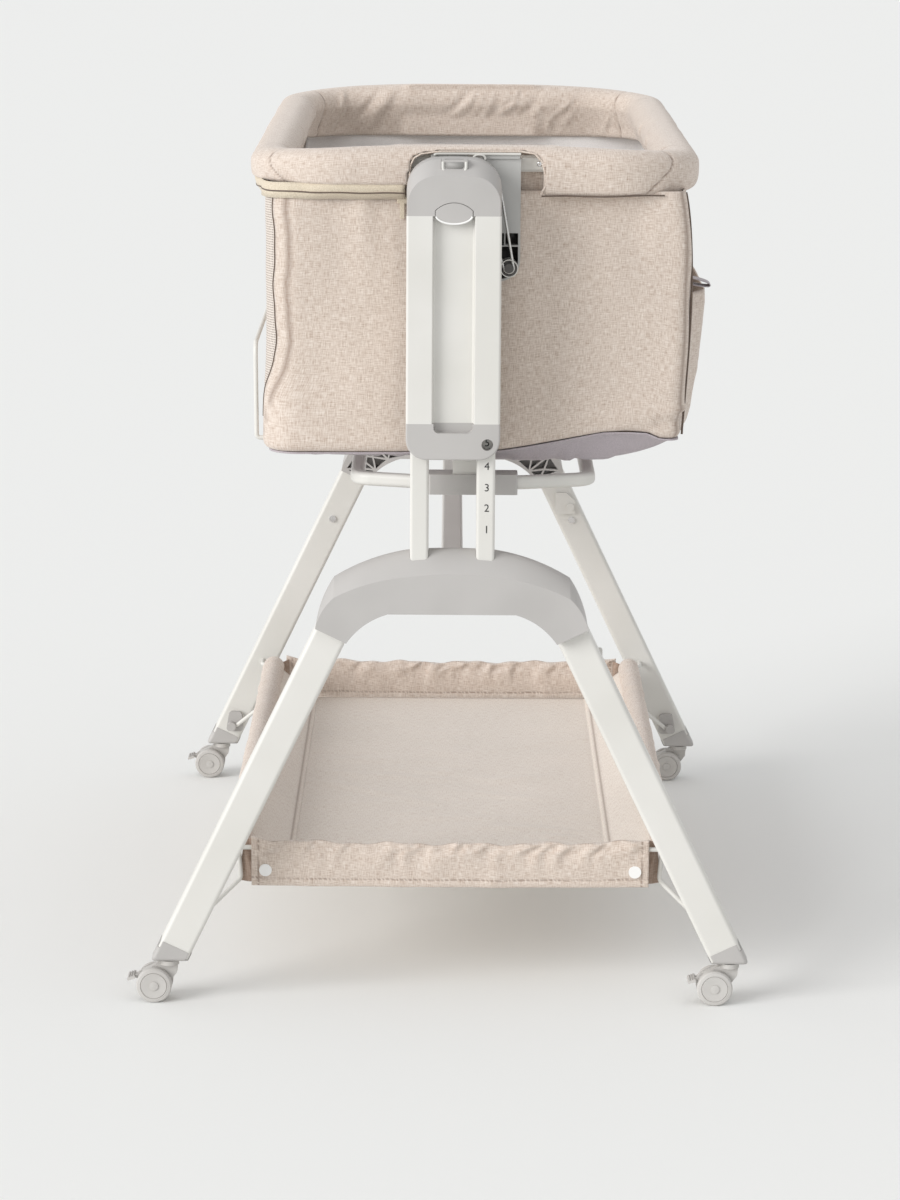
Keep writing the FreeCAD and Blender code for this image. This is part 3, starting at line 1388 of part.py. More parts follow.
def floor_board():
    body = new_body("floor_board")
    inset = size("board_inset")
    plan = ring_plan(size("wall_half_width") - inset - 14, size("wall_half_length") - inset,
                     size("wall_corner") - inset)
    level = "sizes.tub_bottom_level + sizes.wall_thickness + sizes.tub_rise * 0.62"
    pad(body, draw(body, "plan", "XY_Plane", [plan], level), "sizes.board_thickness")
    place(body, x="sizes.swing_shift")
    return keep(body, "floor_board")


def board_top():
    return (size("tub_bottom_level") + size("wall_thickness") + size("tub_rise") * 0.62
            + size("board_thickness"))


def mattress():
    """Padded mattress: sides drawn in at both faces and a low crown."""
    low = board_top() + 0.3
    thick = size("mattress_thickness")
    draw_in = size("mattress_draw")
    half_x = size("wall_half_width") - size("board_inset") - 8
    half_y = size("wall_half_length") - size("board_inset") - 4
    corner = size("wall_corner") - size("board_inset")
    levels = [
        (0.0, draw_in), (thick * 0.16, draw_in * 0.3), (thick * 0.5, 0.0), (thick * 0.84, draw_in * 0.3),
        (thick, draw_in), (thick + size("mattress_crown") * 0.7, draw_in + 34),
        (thick + size("mattress_crown"), draw_in + 95),
    ]
    sections = []
    for up, inward in levels:
        edges = rounded(rectangle(half_x - inward, half_y - inward),
                        max(corner - inward * 0.3, 12))
        wire = Part.Wire([e.toShape() for e in edges])
        wire.translate(V3(0, 0, low + up))
        sections.append(wire)
    solid = Part.makeLoft(sections, True, True)
    body = feature_of("mattress", solid)
    body.Placement = FreeCAD.Placement(V3(size("swing_shift"), 0, 0), FreeCAD.Rotation())
    return keep(body, "mattress")


def drawn_in(points, inset):
    """Convex outline, counter-clockwise, with every side moved inwards."""
    lines = []
    for i, point in enumerate(points):
        along = (points[(i + 1) % len(points)] - point).normalize()
        lines.append((point + V3(-along.y, along.x, 0) * inset, along))
    corners = []
    for i, (base, along) in enumerate(lines):
        last_base, last_along = lines[i - 1]
        cross = last_along.x * along.y - last_along.y * along.x
        gap = base - last_base
        reach = (gap.x * along.y - gap.y * along.x) / cross
        corners.append(last_base + last_along * reach)
    return corners


def loop_plan(inset):
    """Plan of the lower loop: straight sides, bowed ends and round corners."""
    x = size("loop_half_width")
    y = size("loop_half_length")
    shoulder = y - size("loop_bow")
    middle = size("sleeve_half") + 2
    points = [
        V3(x, -shoulder, 0), V3(x, shoulder, 0), V3(middle, y, 0), V3(-middle, y, 0),
        V3(-x, shoulder, 0), V3(-x, -shoulder, 0), V3(-middle, -y, 0), V3(middle, -y, 0),
    ]
    corner = size("loop_corner") - inset
    bow = 90 - inset
    return rounded(drawn_in(points, inset), [corner, corner, bow, bow, corner, corner, bow, bow])


def lower_loop_body(name, gap, bevel=None):
    body = new_body(name)
    sketch = draw(body, "plan", "XY_Plane", [loop_plan(-gap), loop_plan(size("loop_width") + gap)],
                  "sizes.loop_level - sizes.loop_height / 2 - %.3f" % gap)
    pad(body, sketch, "sizes.loop_height + %.3f" % (2 * gap))
    low = size("loop_level") - size("loop_height") / 2 - gap
    high = size("loop_level") + size("loop_height") / 2 + gap
    shape = fillet if bevel is None else chamfer
    shape(body, bevel or "sizes.loop_round", lambda e: at_level(e, low) or at_level(e, high))
    doc.recompute()
    return body


def lower_loop():
    body = place(lower_loop_body("lower_loop", 0), x="sizes.swing_shift")
    return keep(body, "lower_loop")


def loop_sleeves():
    """Grey sleeves that join the lower loop to the end straps."""
    sleeves = []
    for end in (-1, 1):
        tag = "near" if end < 0 else "far"
        body = new_body("sleeve_" + tag)
        front = size("bracket_back") + size("strap_thickness") + 4
        back = size("loop_half_length") - size("loop_width") - 6
        y = end * (front + back) / 2
        plan = rectangle(size("sleeve_half"), (front - back) / 2, 0, y)
        pad(body, draw(body, "plan", "XY_Plane", [rounded(plan, 2)],
                       "sizes.loop_level - sizes.sleeve_height / 2"), "sizes.sleeve_height")
        slot = rectangle(size("strap_half_width") + 0.25, (size("strap_thickness") + 0.5) / 2, 0,
                         end * (size("bracket_back") + 0.5 + size("strap_thickness") / 2))
        pocket(body, draw(body, "strap", "XY_Plane", [rounded(slot, 0.5)],
                          "sizes.loop_level + sizes.sleeve_height / 2 - 7"), "10", backward=True)
        place(body, x="sizes.swing_shift")
        tool = lower_loop_body("sleeve_bore_" + tag, 0.25, "sizes.loop_round * 0.4")
        place(tool, x="sizes.swing_shift")
        doc.recompute()
        cut = doc.addObject("Part::Cut", "sleeve_cut_" + tag)
        cut.Base = body
        cut.Tool = tool
        sleeves.append(cut)
    return group("loop_sleeves", sleeves)


def end_straps():
    """Flat uprights from each end bracket down to the lower loop's sleeve."""
    straps = []
    for end in (-1, 1):
        strap = doc.addObject("Part::Box", "end_strap")
        bind(
            strap,
            Length="2 * sizes.strap_half_width",
            Width="sizes.strap_thickness",
            Height="sizes.bracket_bottom_level - 0.3 - (sizes.loop_level + sizes.sleeve_height / 2 - 6.5)",
        )
        y = "-sizes.bracket_back - 0.5 - sizes.strap_thickness" if end < 0 else "sizes.bracket_back + 0.5"
        place(strap, "sizes.swing_shift - sizes.strap_half_width", y,
              "sizes.loop_level + sizes.sleeve_height / 2 - 6.5")
        straps.append(strap)
    return group("end_straps", straps)


def guard_wire():
    """Bent wire guard outside the mesh, both ends hooked in under the walls."""
    plane = size("swing_shift") - size("wall_half_width")
    out = plane - size("guard_stand_off")
    foot = plane - size("guard_radius") - 3
    reach = size("guard_half_length")
    low = size("guard_foot_level")
    high = size("guard_top_level")
    points = [
        V3(plane - 0.3, -reach, low), V3(foot - 4, -reach, low), V3(out, -reach, high), V3(out, reach, high),
        V3(foot - 4, reach, low), V3(plane - 0.3, reach, low),
    ]
    path = wire_path(points, [3.5, size("guard_bend"), size("guard_bend"), 3.5])
    lengths = []
    for first, last in ((0, 3), (3, 4), (4, 5), (5, 6), (6, 9)):
        part = Part.Wire(path.Edges[first:last])
        lengths.append(feature_of("guard_length", rod(part, size("guard_radius"))))
    return group("guard_wire", lengths)


def side_pocket():
    """Long cloth pocket on the right wall, open at the top, with a webbing tab above."""
    plane = size("wall_half_width") + 0.3
    low = size("pocket_lower_level")
    high = size("pocket_upper_level")
    bulge = size("pocket_bulge")
    body = new_body("side_pocket")
    outline = [V3(plane, low, 0), V3(plane + 5, low, 0), V3(plane + bulge, high, 0), V3(plane, high, 0)]
    pad(body, draw(body, "outline", "XZ_Plane", [rounded(outline, [0, 3, 1, 0])]),
        "2 * sizes.pocket_half_length", symmetric=True)
    room = [V3(plane + 2, low + 8, 0), V3(plane + 5, low + 8, 0), V3(plane + bulge - 2, high + 1, 0),
            V3(plane + 2, high + 1, 0)]
    pocket(body, draw(body, "room", "XZ_Plane", [rounded(room, 0)]),
           "2 * sizes.pocket_half_length - 6", symmetric=True)
    tab = [V3(plane, size("tab_level"), 0), V3(plane + 16, size("tab_level") - 5, 0),
           V3(plane + 16, size("tab_level") - 1, 0), V3(plane, size("tab_level") + 4, 0)]
    strip = draw(body, "tab", "XZ_Plane", [rounded(tab, 0.8)], "sizes.pocket_half_length - 24")
    pad(body, strip, "24")
    place(body, x="sizes.swing_shift")
    return keep(body, "side_pocket")


def zip_slider():
    """Zip slider under the near end of the rim; it runs along the near end."""
    body = new_body("zip_slider")
    plane = size("wall_half_length") + 0.3
    level = size("zip_level") - 5
    block = rectangle(5, 1.8, -70, -(plane + 1.8))
    pad(body, draw(body, "block", "XY_Plane", [rounded(block, 1.2)], "%.3f" % (level - 3.5)), "7")
    pull = rectangle(2.2, 0.7, -70, -(plane + 3.0))
    pad(body, draw(body, "pull", "XY_Plane", [rounded(pull, 0.4)], "%.3f" % (level - 18)), "16")
    place(body, x="sizes.swing_shift")
    return keep(body, "zip_slider")


def zip_pull():
    """Puller hanging by a round eye from the zip's end on the right side, free to swing."""
    body = new_body("zip_pull")
    eye = size("zip_eye_radius")
    plane = size("wall_half_width") + 0.3 + eye
    level = size("zip_level") - 3
    tag = [V3(plane - 0.8, level, 0), V3(plane + 0.8, level, 0), V3(plane + 5.6, level - 17, 0),
           V3(plane + 4, level - 17, 0)]
    back = "sizes.wall_half_length - 76"
    pad(body, draw(body, "eye", "XZ_Plane", [circle(eye, plane, level)], back), "5")
    pad(body, draw(body, "tag", "XZ_Plane", [rounded(tag, 0.4)], back), "5")
    place(body, x="sizes.swing_shift")
    return keep(body, "zip_pull")


# ---------------------------------------------------------------- assembly

for end_sign, end_word in ((-1, "near"), (1, "far")):
    arch(end_word + "_arch_cover", end_sign)
    for side_sign, side_word in ((-1, "left"), (1, "right")):
        leg("%s_%s_leg" % (end_word, side_word), side_sign, end_sign)
        swing_link("%s_%s_link" % (end_word, side_word), side_sign, end_sign)
feet = []
for end_sign in (-1, 1):
    for side_sign in (-1, 1):
        feet.append(leg_foot("leg_foot_%d%d" % (end_sign + 1, side_sign + 1), side_sign, end_sign))
group("leg_feet", feet)
ends(post_pair, "near_posts", "far_posts")
stretcher_beam()
group("strap_clips", [strap_clip("strap_clip_near", -1), strap_clip("strap_clip_far", 1)])
leg_screws()
basket_cloth()
crossbars()
side_bows()
group("bow_brackets", bow_brackets())
basket_snaps()
casters()
ends(column_shell, "near_column_shell", "far_column_shell")
ends(foot_cap, "near_foot_cap", "far_foot_cap")
ends(top_cap, "near_top_cap", "far_top_cap")
ends(release_button, "near_release_button", "far_release_button")
ends(swing_latch, "near_swing_latch", "far_swing_latch")
keep(end_bracket("near_bracket"), "near_bracket")
far_bracket = end_bracket("far_bracket")
keep(place(far_bracket, x="sizes.swing_shift", turn=180), "far_bracket")
discs = []
for end_sign in (-1, 1):
    for side_sign in (-1, 1):
        discs.append(link_disc("disc_%d%d" % (end_sign + 1, side_sign + 1), side_sign, end_sign))
group("link_discs", discs)
keep(place(rim_tube_body("rim_tube", 0), x="sizes.swing_shift"), "rim_tube")
rim_cover()
bassinet_walls()
mesh_side()
base_cloth()
floor_board()
mattress()
lower_loop()
loop_sleeves()
end_straps()
guard_wire()
side_pocket()
zip_slider()
zip_pull()

doc.recompute()
for obj in doc.Objects:
    if "Invalid" in obj.State or "Error" in obj.State:
        raise RuntimeError("failed object: %s %s" % (obj.Name, obj.State))
for piece in PIECES:
    if piece.Shape.isNull() or not piece.Shape.isValid():
        raise RuntimeError("bad shape: " + piece.Label)
os.makedirs("parts", exist_ok=True)
for piece in PIECES:
    piece.Shape.exportStep("parts/%s.step" % piece.Label)
    solids = piece.Shape.Solids
    volume = sum(s.Volume for s in solids)
    print("%-26s solids %d  volume %.0f" % (piece.Label, len(solids), volume))
print("pieces", len(PIECES))
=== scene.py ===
import math

import bmesh
import bpy
import numpy as np
from mathutils import Matrix, Vector, noise


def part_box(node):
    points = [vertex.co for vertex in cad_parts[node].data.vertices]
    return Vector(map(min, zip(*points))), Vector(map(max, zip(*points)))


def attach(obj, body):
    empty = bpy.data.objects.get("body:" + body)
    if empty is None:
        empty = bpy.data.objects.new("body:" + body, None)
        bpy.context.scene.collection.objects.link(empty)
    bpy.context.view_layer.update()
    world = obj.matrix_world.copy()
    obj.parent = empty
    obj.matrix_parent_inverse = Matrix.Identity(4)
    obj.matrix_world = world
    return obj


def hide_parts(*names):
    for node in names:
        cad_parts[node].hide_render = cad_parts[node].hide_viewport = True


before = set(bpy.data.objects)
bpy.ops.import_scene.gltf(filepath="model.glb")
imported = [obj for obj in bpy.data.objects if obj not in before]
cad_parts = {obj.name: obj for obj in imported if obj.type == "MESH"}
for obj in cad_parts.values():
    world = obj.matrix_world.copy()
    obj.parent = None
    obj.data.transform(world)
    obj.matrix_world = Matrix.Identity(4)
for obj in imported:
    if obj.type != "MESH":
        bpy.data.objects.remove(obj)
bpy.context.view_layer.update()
bpy.ops.object.select_all(action="DESELECT")

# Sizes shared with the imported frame, in metres. The bassinet stands 20 mm to the right at rest.
SHIFT = 0.020
RIM_X, RIM_Y, RIM_CORNER = 0.218, 0.4025, 0.095
RIM_TOP, RIM_LOW, RIM_THICK = 0.844, 0.797, 0.038
WALL_X, WALL_Y, WALL_CORNER = 0.204, 0.386, 0.034
# Each end by its direction along Y; what sits at an end is made for both.
NEAR_AND_FAR = ((-1, "near"), (1, "far"))

# Rim pad: foot of the thin skirt behind the wall, the skirt's two faces, and the foot's lift over the zip.
RIM_SKIRT, SKIRT_BACK, SKIRT_FRONT, ZIP_RISE = 0.7845, 0.0115, 0.0205, 0.0095
# Depth of the rim's cut-out, and of the skirt behind it, from the pad's outer face.
CUT_DEPTH, CUT_BACK = 0.0245, 0.0345
# Edge of the cut-out over a bracket. Seams of the corner pieces: across at an end on the left and on the
# right, along a side, and how far each bows along the rim by height.
CUT_X = (-0.0430, -0.0420, -0.0385, -0.0320, -0.0140, 0.0625, 0.0769, 0.0840, 0.0868)
CUT_Z = (0.8170, 0.8267, 0.8335, 0.8373, 0.8398, 0.8403, 0.8380, 0.8304, 0.8180)
END_SEAM_LEFT, END_SEAM_RIGHT, SIDE_SEAM = 0.1985, 0.1905, 0.285
SEAM_Z = (0.797, 0.8076, 0.821, 0.8305, 0.841)
SEAM_BOW = (0.032, 0.021, 0.003, -0.0025, 0.0)

# Lower edge of the walls, the slack cloth under it, the foot of the mesh window, and the walls' grid pitch.
EDGE_X = (-0.184, -0.050, 0.048, 0.075, 0.104, 0.147, 0.170, 0.190, 0.202, 0.224)
EDGE_Z = (0.5435, 0.5445, 0.5470, 0.5515, 0.5570, 0.5655, 0.5660, 0.5650, 0.5595, 0.5585)
SLACK_X = (-0.184, -0.150, -0.042, 0.048, 0.105, 0.148, 0.184, 0.215, 0.224)
SLACK_Z = (0.5415, 0.5390, 0.5372, 0.5338, 0.5332, 0.5345, 0.5430, 0.5535, 0.5575)
WINDOW_LOW, WALL_PITCH = 0.577, 0.0055

# Basket: sleeves round the side bows, floor and sides, and the hems over the crossbars.
SLEEVE_X, SLEEVE_Z, SLEEVE_R, SLEEVE_Y = 0.212, 0.152, 0.012, 0.379
FLOOR_X, FLOOR_Z, TRAY_Y = 0.163, 0.108, 0.386
HEM_X, HEM_Y, HEM_TOP, HEM_THICK = 0.198, 0.402, 0.157, 0.0086
STITCH_PITCH = 0.0045

# Pocket: how far it stands off the wall at each height, and half its length.
POCKET_Z = (0.6970, 0.6850, 0.6450, 0.6150, 0.5800, 0.5650, 0.5600)
POCKET_OUT = (0.0232, 0.0237, 0.0207, 0.0174, 0.0117, 0.0070, 0.0030)
POCKET_Y = 0.335

# Bracket: floor of its hollows from the back face, edge wall, first rib above the foot and the hollows'
# top; and the round disc's radius and level.
RIB_FLOOR, RIB_WALL, RIB_LEVEL, RIB_TOP = 0.0023, 0.002, 0.034, 0.770
DISC_RADIUS, DISC_LEVEL = 0.00825, 0.72865


# ------------------------------------------------------------------ materials


def hex_colour(text):
    """sRGB hex to the linear colour that Blender's sockets take."""
    parts = [int(text[i : i + 2], 16) / 255 for i in (1, 3, 5)]
    linear = [c / 12.92 if c <= 0.04045 else ((c + 0.055) / 1.055) ** 2.4 for c in parts]
    return (*linear, 1.0)


def add_node(material, kind, settings=None, links=None):
    """Adds one node: settings go to its sockets or properties, links join its sockets."""
    tree = material.node_tree
    made = tree.nodes.new(kind)
    for key, value in (settings or {}).items():
        if isinstance(key, int) or key in made.inputs:
            made.inputs[key].default_value = value
        else:
            setattr(made, key, value)
    for key, source in (links or {}).items():
        tree.links.new(source, made.inputs[key])
    return made


def new_material(name, colour, roughness, metallic=0.0, sheen=0.0):
    material = bpy.data.materials.new(name)
    material.use_nodes = True
    shader = material.node_tree.nodes["Principled BSDF"]
    shader.inputs["Base Color"].default_value = hex_colour(colour)
    shader.inputs["Roughness"].default_value = roughness
    shader.inputs["Metallic"].default_value = metallic
    if sheen:
        shader.inputs["Sheen Weight"].default_value = sheen
        shader.inputs["Sheen Roughness"].default_value = 0.6
    return material, shader


def colour_ramp(material, factor, stops):
    ramp = add_node(material, "ShaderNodeValToRGB", links={"Fac": factor})
    points = ramp.color_ramp.elements
    while len(points) < len(stops):
        points.new(0.5)
    for point, (place, colour) in zip(points, stops):
        point.position = place
        point.color = hex_colour(colour)
    return ramp


def link(material, source, shader, socket):
    material.node_tree.links.new(source, shader.inputs[socket])


def bump(material, shader, height, strength, distance):
    made = add_node(material, "ShaderNodeBump", {"Strength": strength, "Distance": distance},
                    {"Height": height})
    link(material, made.outputs["Normal"], shader, "Normal")


def object_noise(material, scale, detail=2.0):
    """Noise laid over the piece itself, so that the pattern keeps its real size."""
    coords = add_node(material, "ShaderNodeTexCoord")
    made = add_node(material, "ShaderNodeTexNoise", {"Scale": scale, "Detail": detail},
                    {"Vector": coords.outputs["Object"]})
    return made.outputs["Fac"]


def colour_by(material, shader, factor, stops):
    ramp = colour_ramp(material, factor, stops)
    link(material, ramp.outputs["Color"], shader, "Base Color")


def gloss_by(material, shader, factor, least, most):
    made = add_node(material, "ShaderNodeMapRange", {3: least, 4: most}, {0: factor})
    link(material, made.outputs[0], shader, "Roughness")


def woven_linen(name, light, middle, dark, seam_colour):
    """Melange plain weave: slubby threads both ways, drawn about twice their real 0.4 mm."""
    material, shader = new_material(name, middle, 0.92, sheen=0.25)
    coords = add_node(material, "ShaderNodeUVMap", {"uv_map": "cloth"})
    streaks = []
    for turned in (False, True):
        scale = (120.0, 1300.0, 1.0) if turned else (1300.0, 120.0, 1.0)
        place = add_node(material, "ShaderNodeMapping", {"Scale": scale},
                         {"Vector": coords.outputs["UV"]})
        threads = add_node(
            material, "ShaderNodeTexNoise", {"Scale": 1.0, "Detail": 3.0, "Roughness": 0.62},
            {"Vector": place.outputs["Vector"]},
        )
        streaks.append(threads.outputs["Fac"])
    both = add_node(material, "ShaderNodeMath", {"operation": "ADD"}, {0: streaks[0], 1: streaks[1]})
    half = add_node(material, "ShaderNodeMath", {"operation": "MULTIPLY", 1: 0.5}, {0: both.outputs[0]})
    yarn = colour_ramp(material, half.outputs[0], [(0.36, dark), (0.5, middle), (0.64, light)])
    cloudy = add_node(material, "ShaderNodeTexNoise", {"Scale": 9.0, "Detail": 2.0},
                      {"Vector": coords.outputs["UV"]})
    faded = add_node(material, "ShaderNodeMix", {"data_type": "RGBA", "blend_type": "MULTIPLY", 0: 0.10},
                     {6: yarn.outputs["Color"], 7: cloudy.outputs["Fac"]})
    seam = add_node(material, "ShaderNodeAttribute", {"attribute_name": "seam"})
    joined = add_node(material, "ShaderNodeMix", {"data_type": "RGBA", 7: hex_colour(seam_colour)},
                      {0: seam.outputs["Fac"], 6: faded.outputs[2]})
    link(material, joined.outputs[2], shader, "Base Color")
    bump(material, shader, half.outputs[0], 0.5, 0.0006)
    return material


def plain_cloth(name, light, dark, roughness=0.9, scale=1100.0):
    """Fine plain cloth, such as lining: a faint thread grain about 1 mm apart, calm beside the linen."""
    material, shader = new_material(name, light, roughness, sheen=0.2)
    grain = object_noise(material, scale)
    colour_by(material, shader, grain, [(0.3, dark), (0.7, light)])
    bump(material, shader, grain, 0.25, 0.0004)
    return material


def moulded_plastic(name, light, dark, roughness, grain=0.12):
    """Injection-moulded plastic: fine spark-eroded grain under 1 mm and a barely uneven gloss."""
    material, shader = new_material(name, light, roughness)
    colour_by(material, shader, object_noise(material, 14.0), [(0.35, dark), (0.65, light)])
    skin = object_noise(material, 1600.0)
    gloss_by(material, shader, skin, roughness - 0.05, roughness + 0.06)
    bump(material, shader, skin, grain, 0.0002)
    return material


def powder_coat(name, light, dark, roughness):
    """Powder-coated steel tube: a soft satin skin with a slight orange-peel ripple 2 mm apart."""
    material, shader = new_material(name, light, roughness)
    colour_by(material, shader, object_noise(material, 9.0), [(0.3, dark), (0.7, light)])
    peel = object_noise(material, 520.0, detail=1.5)
    gloss_by(material, shader, peel, roughness - 0.06, roughness + 0.06)
    bump(material, shader, peel, 0.10, 0.0003)
    return material


def bright_steel(name, colour, roughness):
    """Drawn or polished steel: small sharp highlights, broken a little by fine marks 1 mm apart."""
    material, shader = new_material(name, colour, roughness, metallic=1.0)
    gloss_by(material, shader, object_noise(material, 900.0), roughness * 0.7, roughness * 1.4)
    return material


def knitted_mesh(name, yarn, hole):
    """Open warp-knit mesh: round holes 2.4 mm apart, drawn dark because the inside is in shade."""
    material, shader = new_material(name, yarn, 0.85)
    coords = add_node(material, "ShaderNodeUVMap", {"uv_map": "cloth"})
    cells = add_node(material, "ShaderNodeTexVoronoi", {"Scale": 420.0, "Randomness": 0.12},
                     {"Vector": coords.outputs["UV"]})
    colour_by(material, shader, cells.outputs["Distance"], [(0.22, hole), (0.42, yarn)])
    bump(material, shader, cells.outputs["Distance"], 0.4, 0.0006)
    return material


# Linen: oatmeal yarns of three shades that mix at a distance. A paler copy is painted light on the basket's
# tray, and a browner copy is painted shade on the basket's corner flaps.
LINEN = woven_linen("woven_melange_linen", "#e9ded4", "#d5c6b9", "#b39d8d", "#7d6658")
LINEN_LIT = woven_linen("woven_linen_painted_light", "#f0e8de", "#e6dbcf", "#cdbbad", "#8d7667")
LINEN_SHADE = woven_linen("woven_linen_painted_shade", "#b9a495", "#a18b7c", "#85705f", "#6a5546")
# Plain cloths: quiet matt faces in lilac, white and beige, and thin dark cords that draw the seams.
LILAC = plain_cloth("plain_lilac_underlining", "#bdb4b8", "#a39a9f")
LINING = plain_cloth("white_cotton_lining", "#f0edeb", "#e2dfdd")
COVER = plain_cloth("knitted_mattress_cover", "#f1efec", "#e3e0dc", scale=700.0)
TAPE = plain_cloth("woven_zip_tape", "#dcd0bc", "#c6b8a2", scale=900.0)
WEBBING = plain_cloth("woven_webbing", "#c3bdc1", "#a7a0a6", scale=800.0)
PIPING = plain_cloth("linen_piping_cord", "#e6dace", "#c6b3a4", scale=900.0)
DARK_CORD = plain_cloth("dark_piping_cord", "#6d5c50", "#52443a", scale=900.0)
# Mesh: a pale veil with a regular dark dot.
MESH = knitted_mesh("warp_knit_mesh", "#d8cfc6", "#8d8078")
# Hardboard: a brown, barely mottled board under the mattress.
BOARD = plain_cloth("pressed_hardboard", "#a58560", "#8c6d4a", roughness=0.75, scale=260.0)
# Painted steel and off-white plastic: the palest parts, with broad soft highlights. The off-white also draws
# the painted highlight round the swing latch's lip.
STEEL_TUBE = powder_coat("powder_coated_steel", "#dddbd6", "#d6d4ce", 0.46)
SHELL_AND_HIGHLIGHT = moulded_plastic("moulded_abs_off_white_and_painted_highlight", "#dbd9d4", "#d5d3cd", 0.44)
# Grey plastics: one step darker and duller, so that the moulded parts stand apart from the tubes.
GREY = moulded_plastic("moulded_abs_warm_grey", "#b9b6b3", "#b2afac", 0.50)
BRACKET = moulded_plastic("moulded_nylon_grey", "#bdbcb9", "#b3b2af", 0.52)
CASTER = moulded_plastic("moulded_nylon_caster_grey", "#c4c1bd", "#b8b4af", 0.55, grain=0.25)
# Painted shade: a darker grey for the plate in the swing latch's finger hollow.
SHADOW_GREY = moulded_plastic("painted_shade_in_the_hollow", "#a5a3a0", "#9b9996", 0.55)
# Snaps: small glossy white dots. The same white draws the painted highlight on the release button's lip.
SNAP_AND_HIGHLIGHT = moulded_plastic("glossy_acetal_white_and_painted_highlight", "#f3f2f0", "#ecebe8", 0.30, grain=0.04)
# Dark plastics and ink: the few near-black accents. The dark plastic also paints the shade in the bracket's
# hollows.
DARK_GREY = moulded_plastic("moulded_nylon_dark_grey", "#5b5957", "#504e4c", 0.5)
DARK_PLASTIC_AND_SHADE = moulded_plastic("dark_plastic_and_painted_shade", "#2e2c2b", "#262423", 0.5)
INK = moulded_plastic("printed_black_ink", "#2a2a2a", "#222222", 0.6, grain=0.0)
# Bare metal: bright lines on the swing links and bright points on the screws.
WIRE = bright_steel("drawn_bright_steel", "#d6d6d4", 0.28)
CHROME = bright_steel("chromed_screw_steel", "#e4e4e4", 0.14)


def dress(node_name, material):
    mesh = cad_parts[node_name].data
    if not mesh.materials:
        mesh.materials.append(material)
    for i in range(len(mesh.materials)):
        mesh.materials[i] = material


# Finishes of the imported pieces; the pieces in the second list are there at both ends.
FINISHES = [
    (GREY, ["leg_feet", "bow_brackets", "loop_sleeves"],
     ["arch_cover", "top_cap", "foot_cap", "swing_latch", "release_button"]),
    (SHELL_AND_HIGHLIGHT, [], ["column_shell"]),
    (STEEL_TUBE, ["stretcher_beam", "rim_tube", "lower_loop", "end_straps", "guard_wire",
                  "basket_crossbars", "basket_bows", "strap_clips"],
     ["left_leg", "right_leg", "posts"]),
    (BRACKET, [], ["bracket"]),
    (DARK_GREY, ["link_discs"], []),
    (WIRE, [], ["left_link", "right_link"]),
    (CHROME, ["leg_screws"], []),
    (SNAP_AND_HIGHLIGHT, ["basket_snaps"], []),
    (DARK_PLASTIC_AND_SHADE, ["zip_pull"], []),
    (BOARD, ["floor_board"], []),
    (TAPE, ["zip_slider"], []),
    (CASTER, [], ["%s_caster_%s" % (side, piece) for side in ("left", "right")
                  for piece in ("fork", "wheels", "pedal")]),
]
for finish, single, at_both_ends in FINISHES:
    for node_name in single + ["%s_%s" % (word, name) for end, word in NEAR_AND_FAR for name in at_both_ends]:
        dress(node_name, finish)


# ------------------------------------------------------------------ mesh helpers


def active():
    return bpy.context.view_layer.objects.active


def new_object(name, data):
    made = bpy.data.objects.new(name, data)
    bpy.context.collection.objects.link(made)
    return made


def activate(obj):
    bpy.ops.object.select_all(action="DESELECT")
    obj.select_set(True)
    bpy.context.view_layer.objects.active = obj


def apply_all(obj):
    activate(obj)
    for modifier in list(obj.modifiers):
        bpy.ops.object.modifier_apply(modifier=modifier.name)


def settle(obj):
    """Puts the object's place into its mesh, so that the object sits at the origin."""
    activate(obj)
    bpy.ops.object.transform_apply(location=True, rotation=True, scale=True)


def cloth_grid(name, rows, material, around=False, seam=None):
    """Sheet from a grid of points, with a map in metres along and down, and a seam shade."""
    rows = np.asarray(rows, dtype=float)
    count_v, count_u = rows.shape[:2]
    mesh = bpy.data.meshes.new(name)
    columns = count_u if around else count_u - 1
    faces = []
    for i in range(count_v - 1):
        for j in range(columns):
            k = (j + 1) % count_u
            faces.append((i * count_u + j, i * count_u + k, (i + 1) * count_u + k, (i + 1) * count_u + j))
    mesh.from_pydata(rows.reshape(-1, 3).tolist(), [], faces)
    middle = rows[count_v // 2]
    steps = np.linalg.norm(np.roll(middle, -1, axis=0) - middle, axis=1)
    along = np.concatenate([[0.0], np.cumsum(steps)])
    down = np.linalg.norm(np.diff(rows, axis=0), axis=2).mean(axis=1)
    down = np.concatenate([[0.0], np.cumsum(down)])
    layer = mesh.uv_layers.new(name="cloth")
    corners = []
    for i in range(count_v - 1):
        for j in range(columns):
            corners += [along[j], down[i], along[j + 1], down[i]]
            corners += [along[j + 1], down[i + 1], along[j], down[i + 1]]
    layer.data.foreach_set("uv", corners)
    marks = mesh.attributes.new("seam", "FLOAT", "POINT")
    if seam is not None:
        marks.data.foreach_set("value", np.clip(np.asarray(seam, dtype=float).reshape(-1), 0, 1))
    mesh.materials.append(material)
    mesh.shade_smooth()
    mesh.update()
    return new_object(name, mesh)


